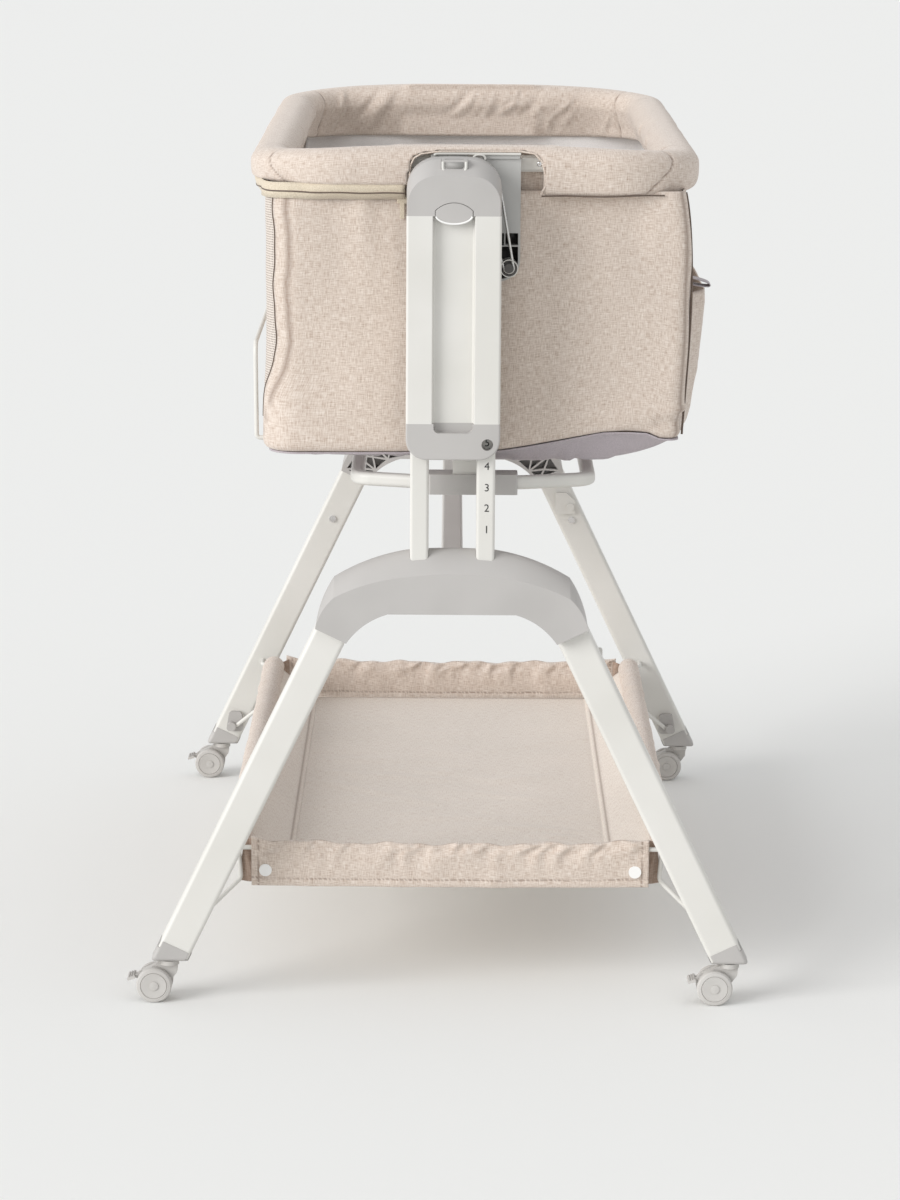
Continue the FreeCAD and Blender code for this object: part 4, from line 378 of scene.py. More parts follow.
def outline(half_x, half_y, corner, spacing=0.006, right_corner=None):
    """Points and outward normals round a rounded plan, from the middle of the near end, to +X first."""
    stations = []
    right = corner if right_corner is None else right_corner

    def run(start, stop, normal):
        length = (stop - start).length
        steps = max(int(round(length / spacing)), 1)
        for i in range(steps):
            stations.append((start.lerp(stop, i / steps), normal))

    def turn(centre, radius, first):
        steps = max(int(round(radius * math.pi / 2 / spacing)), 6)
        for i in range(steps):
            angle = math.radians(first + 90 * i / steps)
            normal = Vector((math.cos(angle), math.sin(angle)))
            stations.append((centre + normal * radius, normal))

    x, y, r = half_x, half_y, corner
    run(Vector((0, -y)), Vector((x - right, -y)), Vector((0, -1)))
    turn(Vector((x - right, -y + right)), right, -90)
    run(Vector((x, -y + right)), Vector((x, y - right)), Vector((1, 0)))
    turn(Vector((x - right, y - right)), right, 0)
    run(Vector((x - right, y)), Vector((-x + r, y)), Vector((0, 1)))
    turn(Vector((-x + r, y - r)), r, 90)
    run(Vector((-x, y - r)), Vector((-x, -y + r)), Vector((-1, 0)))
    turn(Vector((-x + r, -y + r)), r, 180)
    run(Vector((-x + r, -y)), Vector((0, -y)), Vector((0, -1)))
    points = np.array([(p.x, p.y) for p, n in stations])
    normals = np.array([(n.x, n.y) for p, n in stations])
    lengths = np.concatenate([[0], np.cumsum(np.linalg.norm(np.diff(points, axis=0), axis=1))])
    points[:, 0] += SHIFT
    return points, normals, lengths


def hump(miss, width):
    """Bell-shaped falloff: one on the line and next to nothing at twice the width from it."""
    return np.exp(-((miss / width) ** 2))


def folds(u, v, seed, count, u_range, v_range, angle, length, width, depth):
    """Creases at seeded places: long shallow ridges with a soft hollow beside each."""
    rng = np.random.RandomState(seed)
    total = np.zeros(np.broadcast(u, v).shape)
    for i in range(count):
        cu = rng.uniform(*u_range)
        cv = rng.uniform(*v_range)
        turn = math.radians(rng.uniform(*angle))
        long = rng.uniform(*length)
        wide = rng.uniform(*width)
        deep = rng.uniform(*depth) * (1 if rng.rand() < 0.72 else -1)
        along = (u - cu) * math.cos(turn) + (v - cv) * math.sin(turn)
        across = -(u - cu) * math.sin(turn) + (v - cv) * math.cos(turn)
        across = across + 0.12 * along * along / max(long, 1e-4)
        ridge = hump(across, wide) - 0.55 * hump(across - 1.7 * wide, 1.3 * wide)
        total += deep * ridge * hump(along, long)
    return total


def smooth_noise(points, scale, seed):
    """Soft noise between -1 and 1 at each point of a grid."""
    flat = points.reshape(-1, 3)
    offset = Vector((seed * 7.13, seed * 3.71, seed * 5.37))
    values = [noise.noise(Vector(p) * scale + offset) for p in flat]
    return np.array(values).reshape(points.shape[:-1])


def ease(value):
    value = np.clip(value, 0, 1)
    return value * value * (3 - 2 * value)


def close_and_turn(obj, fill=False):
    """Merges doubles and turns every face outwards; fill closes open ends first."""
    shape = bmesh.new()
    shape.from_mesh(obj.data)
    if fill:
        bmesh.ops.holes_fill(shape, edges=shape.edges, sides=0)
    bmesh.ops.remove_doubles(shape, verts=shape.verts, dist=0.00002)
    bmesh.ops.recalc_face_normals(shape, faces=shape.faces)
    shape.to_mesh(obj.data)
    shape.free()
    obj.data.shade_smooth()
    obj.data.update()


def finish_cloth(obj, thickness, levels=0, offset=0, inner=None):
    """Gives a sheet its thickness, closed round its edges and facing outwards."""
    if inner is not None:
        obj.data.materials.append(inner)
    solid = obj.modifiers.new("thickness", "SOLIDIFY")
    solid.thickness = thickness
    solid.offset = offset
    if inner is not None:
        solid.material_offset = 1
    if levels:
        smooth = obj.modifiers.new("smooth", "SUBSURF")
        smooth.levels = levels
        smooth.render_levels = levels
    apply_all(obj)
    close_and_turn(obj)


def belong(obj, body, replaced=None):
    """Tells the frame the body a piece rides on, and hides the part it replaces."""
    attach(obj, body)
    if replaced:
        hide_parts(replaced)


def round_tube(name, points, radius, material, closed=False, sides=8):
    """Small cord or rod along points, as a mesh."""
    curve = bpy.data.curves.new(name, "CURVE")
    curve.dimensions = "3D"
    curve.bevel_depth = radius
    curve.bevel_resolution = max(sides // 4, 1)
    curve.use_fill_caps = not closed
    spline = curve.splines.new("POLY")
    spline.points.add(len(points) - 1)
    for spot, place in zip(spline.points, points):
        spot.co = (*place, 1)
    spline.use_cyclic_u = closed
    activate(new_object(name, curve))
    bpy.ops.object.convert(target="MESH")
    made = active()
    made.data.shade_smooth()
    made.data.materials.append(material)
    return made


def resample(points, spacing):
    """Points at an even spacing along a broken line."""
    steps = [(b - a).length for a, b in zip(points, points[1:])]
    along = np.concatenate([[0.0], np.cumsum(steps)])
    count = max(int(along[-1] / spacing), 2)
    wanted = np.linspace(0, along[-1], count)
    columns = [np.interp(wanted, along, [p[k] for p in points]) for k in range(3)]
    return [Vector(p) for p in zip(*columns)]


# ------------------------------------------------------------------ padded rim


def rim_profile():
    """Section of the pad: depth from the outer face and height, from the inner foot round the outside."""
    outline_points = []
    thick, low, top, skirt = RIM_THICK, RIM_LOW, RIM_TOP, RIM_SKIRT
    crown, toe = 0.0165, 0.006

    def arc(cx, cz, r, start, stop, steps):
        for i in range(steps):
            a = math.radians(start + (stop - start) * i / steps)
            outline_points.append((cx - r * math.cos(a), cz + r * math.sin(a)))

    def line(a, b, steps):
        for i in range(steps):
            t = i / steps
            outline_points.append((a[0] + (b[0] - a[0]) * t, a[1] + (b[1] - a[1]) * t))

    back = thick - SKIRT_BACK
    line((SKIRT_FRONT + 0.002, skirt), (SKIRT_FRONT, skirt + 0.004), 2)
    line((SKIRT_FRONT, skirt + 0.004), (SKIRT_FRONT, low), 4)
    line((SKIRT_FRONT, low), (toe, low), 4)
    arc(toe, low + toe, toe, -90, 0, 5)
    line((0, low + toe), (0, top - crown), 14)
    arc(crown, top - crown, crown, 0, 90, 12)
    line((crown, top), (thick - crown, top), 3)
    arc(thick - crown, top - crown, crown, 90, 180, 9)
    line((thick, top - crown), (thick, top - crown - 0.006), 3)
    line((thick, top - crown - 0.006), (back, skirt + 0.004), 13)
    line((back, skirt + 0.004), (back - 0.002, skirt), 2)
    return np.array(outline_points)


def cut_out_top(x):
    """Height of the cut-out's edge over the bracket, or zero beside it."""
    return np.interp(x, CUT_X, CUT_Z, left=0.0, right=0.0)


def rim_pad():
    """Crowned ring of padded linen, cut away at both brackets, with corner pieces and creases."""
    points, normals, lengths = outline(RIM_X, RIM_Y, RIM_CORNER, spacing=0.0024)
    profile = rim_profile()
    depth = profile[:, 0][:, None]
    height = profile[:, 1][:, None]
    total = lengths[-1]
    rel_x = points[:, 0] - SHIFT
    along = points[:, 1]
    towards_end = ease((1 - np.abs(along) / RIM_Y) * 3 + 0.4)
    droop = 0.0075 * ease((np.abs(rel_x) - 0.05) / 0.16) * (0.5 + 0.5 * towards_end)
    crest = int(np.argmax(profile[:, 1]))
    inside = (np.arange(len(profile))[:, None] > crest) & (depth > RIM_THICK * 0.5)
    lift = (height - RIM_LOW) / (RIM_TOP - RIM_LOW)
    over_zip = ease((-0.050 - rel_x) / 0.012) * ease((0.36 - along) / 0.05)
    raised = ZIP_RISE * over_zip[None, :] * np.clip(1 - lift * 1.4, 0, 1) * ~inside
    z = height - droop[None, :] * np.clip(lift, 0, 1) + raised
    bulge = 0.0016 * np.sin(np.pi * np.clip(lift, 0, 1))
    s = lengths[None, :]
    v = profile_length(profile)[:, None]
    low_v, high_v = v[inside[:, 0]][10, 0], v[-1, 0]
    crease = folds(s, v, 3, 84, (0, total), (low_v, high_v), (40, 72), (0.010, 0.028), (0.0026, 0.0055),
                   (0.0008, 0.0028))
    crease += folds(s, v, 4, 40, (0, total), (0.0, 0.06), (60, 110), (0.008, 0.018), (0.004, 0.008),
                    (0.0003, 0.0009))
    grid3 = np.stack([
        np.broadcast_to(points[:, 0][None, :], z.shape),
        np.broadcast_to(points[:, 1][None, :], z.shape),
        z,
    ], axis=2)
    lumps = 0.0009 * smooth_noise(grid3, 22.0, 1)
    out = bulge + lumps + crease * np.where(inside, 1.0, 0.5)
    seam_shade, seam_dip = rim_seams(points, lengths, z, inside)
    out = out - seam_dip
    foot = 0.0028 * hump(z - RIM_LOW, 0.006)
    tuck = foot * ease((np.abs(rel_x) - 0.15) / 0.05) * (1 - over_zip) * ~inside
    in_depth = depth - out * np.where(inside, -1.0, 1.0) * bulge_mask(depth) + tuck
    cut = np.abs(along) > 0.39
    hollow = cut[None, :] & (z < cut_out_top(points[:, 0])[None, :]) & (in_depth < CUT_DEPTH) & ~inside
    in_depth = np.where(hollow, CUT_DEPTH, in_depth)
    by_cut = ease((0.085 - np.abs(rel_x)) / 0.014) * cut
    held = np.maximum(in_depth, CUT_BACK)
    in_depth = np.where(inside, in_depth + (held - in_depth) * by_cut[None, :], in_depth)
    x = points[:, 0][None, :] - normals[:, 0][None, :] * in_depth
    y = points[:, 1][None, :] - normals[:, 1][None, :] * in_depth
    rows = np.stack([x, y, z], axis=2)
    rows = np.concatenate([rows, rows[:1]], axis=0)
    seam_shade = np.concatenate([seam_shade, seam_shade[:1]], axis=0)
    obj = cloth_grid("rim_pad", rows[:, :-1], LINEN, around=True, seam=seam_shade[:, :-1])
    close_and_turn(obj)
    belong(obj, "bassinet", "rim_cover")


def profile_length(profile):
    steps = np.linalg.norm(np.diff(profile, axis=0), axis=1)
    return np.concatenate([[0], np.cumsum(steps)])


def bulge_mask(depth):
    """Full swell on the faces and none across the crown's middle."""
    return np.clip(np.abs(depth - RIM_THICK * 0.5) / (RIM_THICK * 0.25), 0, 1)


def rim_seams(points, lengths, z, inside):
    """Curved seams at both ends of each corner piece: shade and dip for every grid point."""
    rel_x = np.abs(points[:, 0] - SHIFT)
    rel_y = np.abs(points[:, 1])
    outer_bow = np.interp(z, SEAM_Z, SEAM_BOW)
    inner_bow = -0.004 * np.sin(np.pi * np.clip((z - RIM_SKIRT) / (RIM_TOP - RIM_SKIRT), 0, 1))
    bow = np.where(inside, inner_bow, outer_bow)
    shade = np.zeros(z.shape)
    dip = np.zeros(z.shape)
    for sx in (-1, 1):
        for sy in (-1, 1):
            other = (np.sign(points[:, 0] - SHIFT) != sx) | (np.sign(points[:, 1]) != sy)
            seam_x = END_SEAM_LEFT if sx < 0 else END_SEAM_RIGHT
            end_miss = np.abs(rel_x - seam_x) + 10 * (rel_y < RIM_Y - RIM_CORNER) + 10 * other
            side_miss = np.abs(rel_y - SIDE_SEAM) + 10 * (rel_x < RIM_X - 0.01) + 10 * other
            for miss, towards in ((end_miss, sx * sy), (side_miss, -sx * sy)):
                mark = lengths[int(np.argmin(miss))]
                gap = np.abs(lengths[None, :] - mark - bow * towards)
                shade = np.maximum(shade, hump(gap, 0.0009))
                dip = np.maximum(dip, 0.0018 * hump(gap, 0.0032))
    return shade * 0.9, dip


rim_pad()


def cut_out_piping(end, word):
    """Thin cord sewn round the cut-out at a bracket, with dark stitches over it."""
    centre = SHIFT * 2 if end > 0 else 0.0
    path = [(CUT_X[0], RIM_LOW + ZIP_RISE + 0.001), (CUT_X[0], 0.811)]
    path += list(zip(CUT_X, CUT_Z)) + [(CUT_X[-1] + 0.0006, 0.808), (CUT_X[-1] - 0.004, RIM_LOW + 0.002)]
    spots = resample([Vector((centre - end * x, end * (RIM_Y - 0.0002), z)) for x, z in path], 0.0012)
    cord = round_tube("cut_out_piping_%s" % word, spots, 0.0009, PIPING)
    belong(cord, "bassinet")
    lift = Vector((0, end * 0.0005, 0))
    thread = None
    for first, last in zip(spots[1::3], spots[2::3]):
        middle = (first + last) / 2 + lift
        step = (last - first).normalized() * 0.0007
        slant = Vector((step.z, 0, -step.x)) * 0.7
        across = step + slant
        piece = round_tube("stitch", [middle - across, middle + across], 0.00028, DARK_CORD, sides=4)
        if thread is None:
            thread = piece
        else:
            thread.select_set(True)
            bpy.context.view_layer.objects.active = thread
            bpy.ops.object.join()
    thread.name = "cut_out_stitches_%s" % word
    belong(thread, "bassinet")


for end, word in NEAR_AND_FAR:
    cut_out_piping(end, word)


def rim_foot_seam():
    """Dark sewn line between rim and wall, where there is no zip."""
    plan, way, along = outline(RIM_X, RIM_Y, RIM_CORNER, spacing=0.004)
    wall = wall_plan(0.0015)[0]
    for end, word in NEAR_AND_FAR:
        spots = []
        for i, (x, y) in enumerate(plan):
            if x < CUT_X[-1] - 0.004 or x > 0.200 or y * end < 0.34:
                continue
            beside = int(np.argmin(np.linalg.norm(wall - plan[i], axis=1)))
            out = max(-0.0006, float(np.dot(wall[beside] - plan[i], way[i])) + 0.0034)
            px, py = plan[i] + way[i] * out
            spots.append((px, py, RIM_LOW + 0.0006 + 0.0003 * math.sin(along[i] * 90)))
        if end > 0:
            spots.sort(key=lambda p: p[0])
        belong(round_tube("rim_seam_%s" % word, spots, 0.0008, DARK_CORD), "bassinet")


# ------------------------------------------------------------------ bassinet walls


def tub_edge(x):
    """Height of the walls' lower edge; it rises towards the right and drops at the corner."""
    return np.interp(x, EDGE_X, EDGE_Z)


def wall_plan(spacing):
    return outline(WALL_X, WALL_Y, WALL_CORNER, spacing=spacing, right_corner=0.016)


def window_edges():
    """Places along the wall's plan of the mesh's two upright edges: the middles of the left corners."""
    points, normals, s = wall_plan(WALL_PITCH)
    left = (points[:, 0] - SHIFT) < 0
    near = np.abs(normals[:, 0] - normals[:, 1]) + 10 * ~(left & (points[:, 1] < 0))
    far = np.abs(normals[:, 0] + normals[:, 1]) + 10 * ~(left & (points[:, 1] > 0))
    return s[int(np.argmin(far))], s[int(np.argmin(near))]


def edge_shift(z, seed):
    """How far the mesh's upright edge strays towards the left side at a height."""
    wave = 0.0016 * math.sin(z * 74 + seed) + 0.0006 * math.sin(z * 171 + seed)
    return 0.0255 * float(ease((0.636 - z) / 0.056)) + wave * float(ease((z - 0.58) / 0.02))


def swell(x, y, z):
    """The right side bellies out, most at two thirds of its height; the left foot a little."""
    t = np.clip((RIM_LOW - z) / 0.232, 0, 1)
    right = 0.0098 * np.sin(math.pi * t ** 0.72) * ease((x - 0.10) / 0.10)
    left = -0.0040 * ease((t - 0.55) / 0.4) * ease((-x - 0.11) / 0.06)
    calm = 1 - 0.3 * np.abs(y) / WALL_Y
    return (right + left) * calm


def wall_rows():
    points, normals, s = wall_plan(WALL_PITCH)
    total = s[-1]
    far, near = window_edges()
    top = RIM_LOW + 0.004
    levels = [(t, 0.0) for t in np.linspace(0, 1, 44)]
    levels += [(1.0, a) for a in (25, 50, 75, 90)]
    levels += [(1.0, 120)]
    grid = []
    drop = []
    for t, angle in levels:
        edge = tub_edge(points[:, 0])
        z = top + (edge + 0.008 - top) * t
        inset = np.zeros_like(z)
        if 0 < angle <= 90:
            z = edge + 0.008 - 0.008 * math.sin(math.radians(angle))
            inset = np.full_like(z, 0.008 * (1 - math.cos(math.radians(angle))))
        elif angle:
            z = edge
            inset = np.full_like(z, 0.030)
        left_level = float(z[int(np.argmin(points[:, 0]))])
        shifted = s.copy()
        shifted += edge_shift(left_level, 0.0) * -hump(s - near, 0.045)
        shifted += edge_shift(left_level, 2.0) * hump(s - far, 0.045)
        place = [np.interp(shifted, s, points[:, k]) for k in (0, 1)]
        way = [np.interp(shifted, s, normals[:, k]) for k in (0, 1)]
        grid.append(np.stack([place[0] - way[0] * inset, place[1] - way[1] * inset, z], axis=1))
        drop.append(np.full_like(z, t))
    grid = np.array(grid)
    t = np.array(drop)
    v = top - grid[:, :, 2]
    u = np.broadcast_to(s[None, :], v.shape)
    fade = np.clip(t * 12, 0, 1) * np.clip((1.03 - t) * 14, 0.0, 1)
    sway = 0.0024 * smooth_noise(grid, 6.5, 2) + 0.0008 * smooth_noise(grid, 24.0, 3)
    crease = folds(u, v, 11, 30, (0, total), (0.03, 0.16), (60, 120), (0.03, 0.09), (0.007, 0.016),
                   (0.0006, 0.0017))
    crease += folds(u, v, 12, 46, (0, total), (0.19, 0.25), (-30, 40), (0.02, 0.07), (0.005, 0.010),
                    (0.0008, 0.0022))
    on_left = points[:, 0] < SHIFT
    zipped = on_left & (points[:, 1] < 0.30)
    fine = 0.0013 * np.sin(u * 430 + 4 * np.sin(u * 61)) * np.exp(-v / 0.022)
    broad = 0.0016 * np.sin(u * 95 + 2 * np.sin(u * 31)) * np.exp(-v / 0.060)
    gather = fine * np.where(zipped, 1.0, 0.30)[None, :] + broad * np.where(zipped, 1.0, 0.2)[None, :]
    out = (sway + crease) * fade + gather * np.clip(t * 40, 0, 1)
    tuck = grid[:, :, 2] - 0.5660 - (grid[:, :, 0] - 0.147) * 0.29
    near_right = ease((grid[:, :, 0] - 0.120) / 0.03) * (grid[:, :, 1] < -0.36)
    out += near_right * (0.0030 * hump(tuck, 0.0040) - 0.0030 * ease(-tuck / 0.006))
    out = np.where(t >= 1.0, out * 0.4, out)
    back = np.clip((np.abs(points[:, 1]) - 0.37) / 0.012, 0, 1)[None, :]
    behind = back * (np.abs(points[:, 0] - SHIFT) < 0.075)[None, :]
    out = np.minimum(out, np.where(behind > 0, 0.0001, 0.004))
    x0, y0 = grid[:, :, 0].copy(), grid[:, :, 1].copy()
    grid[:, :, 0] += normals[:, 0][None, :] * out + swell(x0, y0, grid[:, :, 2])
    grid[:, :, 1] += normals[:, 1][None, :] * out
    return points, s, grid


def wall_seams(points, s, grid):
    """Upright seams near the corners of the walls; the left ones swing outwards at the foot."""
    shade = np.zeros(grid.shape[:2])
    rel_x = points[:, 0] - SHIFT
    z = grid[:, :, 2]
    for sy in (-1, 1):
        side = (rel_x < 0) & (np.sign(points[:, 1]) == sy)
        miss = np.abs(rel_x + 0.1805) + 10 * ~side + 10 * (np.abs(points[:, 1]) < WALL_Y - 0.02)
        mark = s[int(np.argmin(miss))]
        swing = -sy * -0.014 * ease((0.600 - z) / 0.055)
        gap = np.abs(s[None, :] - mark - swing)
        shade += hump(gap, 0.0016) * 0.6
        right = (rel_x > 0) & (np.sign(points[:, 1]) == sy)
        miss = np.abs(points[:, 0] - 0.2195) + 10 * ~right + 10 * (np.abs(points[:, 1]) < WALL_Y - 0.02)
        gap = np.abs(s[None, :] - s[int(np.argmin(miss))])
        shade += hump(gap, 0.0018) * 0.6
    return np.clip(shade, 0, 1)


def tub_walls():
    points, s, grid = wall_rows()
    far, near = window_edges()
    shade = wall_seams(points, s, grid)
    low = int(np.argmin(np.abs(grid[:, int(np.argmin(points[:, 0])), 2] - WINDOW_LOW)))
    j_far, j_near = int(np.argmin(np.abs(s - far))), int(np.argmin(np.abs(s - near)))
    obj = cloth_grid("tub_walls", grid[:, :-1], LINEN, around=True, seam=shade[:, :-1])
    columns = grid.shape[1] - 1
    shape = bmesh.new()
    shape.from_mesh(obj.data)
    shape.faces.ensure_lookup_table()
    gone = [shape.faces[i * columns + j] for i in range(1, low) for j in range(j_far, j_near)]
    bmesh.ops.delete(shape, geom=gone, context="FACES")
    bmesh.ops.reverse_faces(shape, faces=shape.faces)
    shape.to_mesh(obj.data)
    shape.free()
    finish_cloth(obj, 0.0022, offset=-1.0, inner=LINING)
    for column, word in ((j_near, "near"), (j_far, "far")):
        line = [tuple(p) for p in grid[1 : low + 1, column]]
        belong(round_tube("mesh_edge_%s" % word, line, 0.0007, DARK_CORD), "bassinet")
    belong(obj, "bassinet", "bassinet_walls")
    return grid[: low + 1, j_far : j_near + 1]


rim_foot_seam()


def mesh_window(rows):
    """Mesh sheet filling the walls' left window, just inside its edge, with a slight belly."""
    down = np.linspace(0, 1, rows.shape[0])[:, None]
    along = np.linspace(0, 1, rows.shape[1])[None, :]
    rows[:, :, 0] -= 0.0016 * np.sin(math.pi * down) * np.sin(math.pi * along) - 0.0011
    obj = cloth_grid("mesh_window", rows, MESH)
    finish_cloth(obj, 0.0009)
    belong(obj, "bassinet", "mesh_side")


mesh_window(tub_walls().copy())


def under_cloth():
    """Lilac cloth under the bassinet: hangs slack below the walls, creased towards the edges."""
    plan = outline(WALL_X - 0.003, WALL_Y - 0.004, WALL_CORNER - 0.004, right_corner=0.014)
    points, s = plan[0], plan[2]
    rel_x = points[:, 0] - SHIFT
    shares = np.concatenate([np.linspace(1.0, 0.80, 24), np.linspace(0.76, 0.0, 14)])
    rows = []
    for k in shares:
        x = rel_x * k + SHIFT
        drawn = float(ease((1 - k) * 13))
        level = (tub_edge(x) - 0.0005) * (1 - drawn) + np.interp(x, SLACK_X, SLACK_Z) * drawn
        rows.append(np.stack([x, points[:, 1] * k, level], axis=1))
    grid = np.array(rows)
    k = shares[:, None]
    u = np.broadcast_to(s[None, :], grid.shape[:2])
    v = np.broadcast_to((1 - k) * 0.3, grid.shape[:2])
    crease = folds(u, v, 21, 110, (0, s[-1]), (0.0, 0.06), (50, 130), (0.012, 0.045), (0.003, 0.007),
                   (0.0010, 0.0030))
    grid[:, :, 2] += crease * ease((1 - k) * 20) * ease(k * 1.6) - 0.0005
    grid[:, :, 2] = np.maximum(grid[:, :, 2], min(SLACK_Z))
    obj = cloth_grid("under_cloth", grid[:, :-1], LILAC, around=True)
    finish_cloth(obj, 0.0016)
    belong(obj, "bassinet", "base_cloth")


under_cloth()


# ------------------------------------------------------------------ mattress


def mattress_pad():
    """Crowned mattress, swelled by a short cloth simulation without gravity."""
    low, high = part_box("mattress")
    bpy.ops.mesh.primitive_cube_add(size=1, location=(Vector(low) + Vector(high)) / 2)
    obj = active()
    obj.name = "mattress_pad"
    obj.scale = (high[0] - low[0] - 0.012, high[1] - low[1] - 0.012, (high[2] - low[2]) * 0.66)
    settle(obj)
    bevel = obj.modifiers.new("round", "BEVEL")
    bevel.width = 0.013
    bevel.segments = 4
    apply_all(obj)
    remesh = obj.modifiers.new("remesh", "REMESH")
    remesh.mode = "VOXEL"
    remesh.voxel_size = 0.009
    apply_all(obj)
    before = [v.co.copy() for v in obj.data.vertices]
    cloth = obj.modifiers.new("swell", "CLOTH")
    cloth.settings.use_pressure = True
    cloth.settings.uniform_pressure_force = 3.0
    cloth.settings.effector_weights.gravity = 0
    scene = bpy.context.scene
    for step in range(1, 17):
        scene.frame_set(step)
    apply_all(obj)
    scene.frame_set(1)
    most = 0.010
    for vertex, start in zip(obj.data.vertices, before):
        move = vertex.co - start
        if move.length > most:
            vertex.co = start + move.normalized() * most
    inset = 0.0003
    for vertex in obj.data.vertices:
        for i in range(3):
            vertex.co[i] = min(max(vertex.co[i], low[i] + inset), high[i] - inset)
    obj.data.shade_smooth()
    obj.data.materials.append(COVER)
    belong(obj, "bassinet", "mattress")


mattress_pad()


# ------------------------------------------------------------------ storage basket


def basket_section():
    """Across the basket: up the left sleeve, down the wall, over the floor and up the right side."""
    lean = Vector((SLEEVE_X - FLOOR_X, SLEEVE_Z - FLOOR_Z)).normalized()
    inner = Vector((SLEEVE_X, SLEEVE_Z)) - lean * SLEEVE_R * 0.9
    foot = Vector((FLOOR_X + 0.004, FLOOR_Z + 0.006))
    half = [inner.lerp(foot, i / 14) for i in range(14)]
    for i in range(6):
        a = math.pi / 2 * i / 5
        half.append(foot - Vector((0.006 * math.sin(a), 0.0045 * (1 - math.cos(a)))))
    floor = [Vector((x, FLOOR_Z + 0.0015)) for x in np.linspace(FLOOR_X - 0.004, -FLOOR_X + 0.004, 56)]
    return half + floor + [Vector((-p.x, p.y)) for p in reversed(half)]


def basket_tray():
    """Floor and leaning sides as one slack sheet of linen."""
    section = basket_section()
    ys = np.linspace(-TRAY_Y, TRAY_Y, 110)
    grid = np.array([[(p.x, y, p.y) for p in section] for y in ys])
    u = np.concatenate([[0], np.cumsum([(b - a).length for a, b in zip(section, section[1:])])])[None, :]
    v = ys[:, None] + TRAY_Y
    flat = np.clip(1 - np.abs(grid[:, :, 0]) / FLOOR_X, 0, 1) ** 0.5
    ends = np.clip((TRAY_Y - np.abs(ys[:, None])) * 12, 0, 1)
    waves = folds(u, v, 31, 40, (0.05, 0.40), (0.0, 0.77), (-35, 35), (0.05, 0.16), (0.008, 0.020),
                  (0.0010, 0.0030))
    waves += 0.0015 * smooth_noise(grid, 9.0, 5)
    grid[:, :, 2] += np.abs(waves) * (0.25 + 0.75 * flat) * ends
    shade = 0.75 * hump(np.abs(grid[:, :, 0]) - FLOOR_X - 0.002, 0.0012)
    # Painted light: the tray is drawn in the paler copy of the linen.
    obj = cloth_grid("basket_tray", grid, LINEN_LIT, seam=shade)
    finish_cloth(obj, 0.0018)
    belong(obj, "stand", "basket_cloth")


def padded_sleeve(side):
    """Soft sleeve round a side bow, drawn in a little where it is stitched."""
    ys = np.linspace(-SLEEVE_Y, SLEEVE_Y, 150)
    around = np.arange(28) * 2 * math.pi / 28
    rows = []
    for y in ys:
        end = min((SLEEVE_Y - abs(y)) / 0.010, 1.0)
        r = SLEEVE_R * (0.80 + 0.20 * math.sqrt(max(end, 0)))
        rows.append([(side * (SLEEVE_X + r * math.cos(a)), y, SLEEVE_Z + r * math.sin(a)) for a in around])
    grid = np.array(rows)
    away = grid - np.array([side * SLEEVE_X, 0, SLEEVE_Z])
    away[:, :, 1] = 0
    away /= np.maximum(np.linalg.norm(away, axis=2, keepdims=True), 1e-6)
    v = np.broadcast_to((around * SLEEVE_R)[None, :], grid.shape[:2])
    u = np.broadcast_to(ys[:, None], grid.shape[:2])
    crease = folds(u, v, 41 + side, 70, (-0.38, 0.38), (0, 0.075), (60, 120), (0.010, 0.025),
                   (0.0025, 0.006), (0.0004, 0.0012))
    lumps = 0.0008 * smooth_noise(grid, 30.0, 6 + side)
    grid = grid + away * np.minimum(crease + lumps, 0.0012)[:, :, None]
    obj = cloth_grid("basket_sleeve_%s" % ("left" if side < 0 else "right"), grid, LINEN, around=True)
    close_and_turn(obj, fill=True)
    belong(obj, "stand")


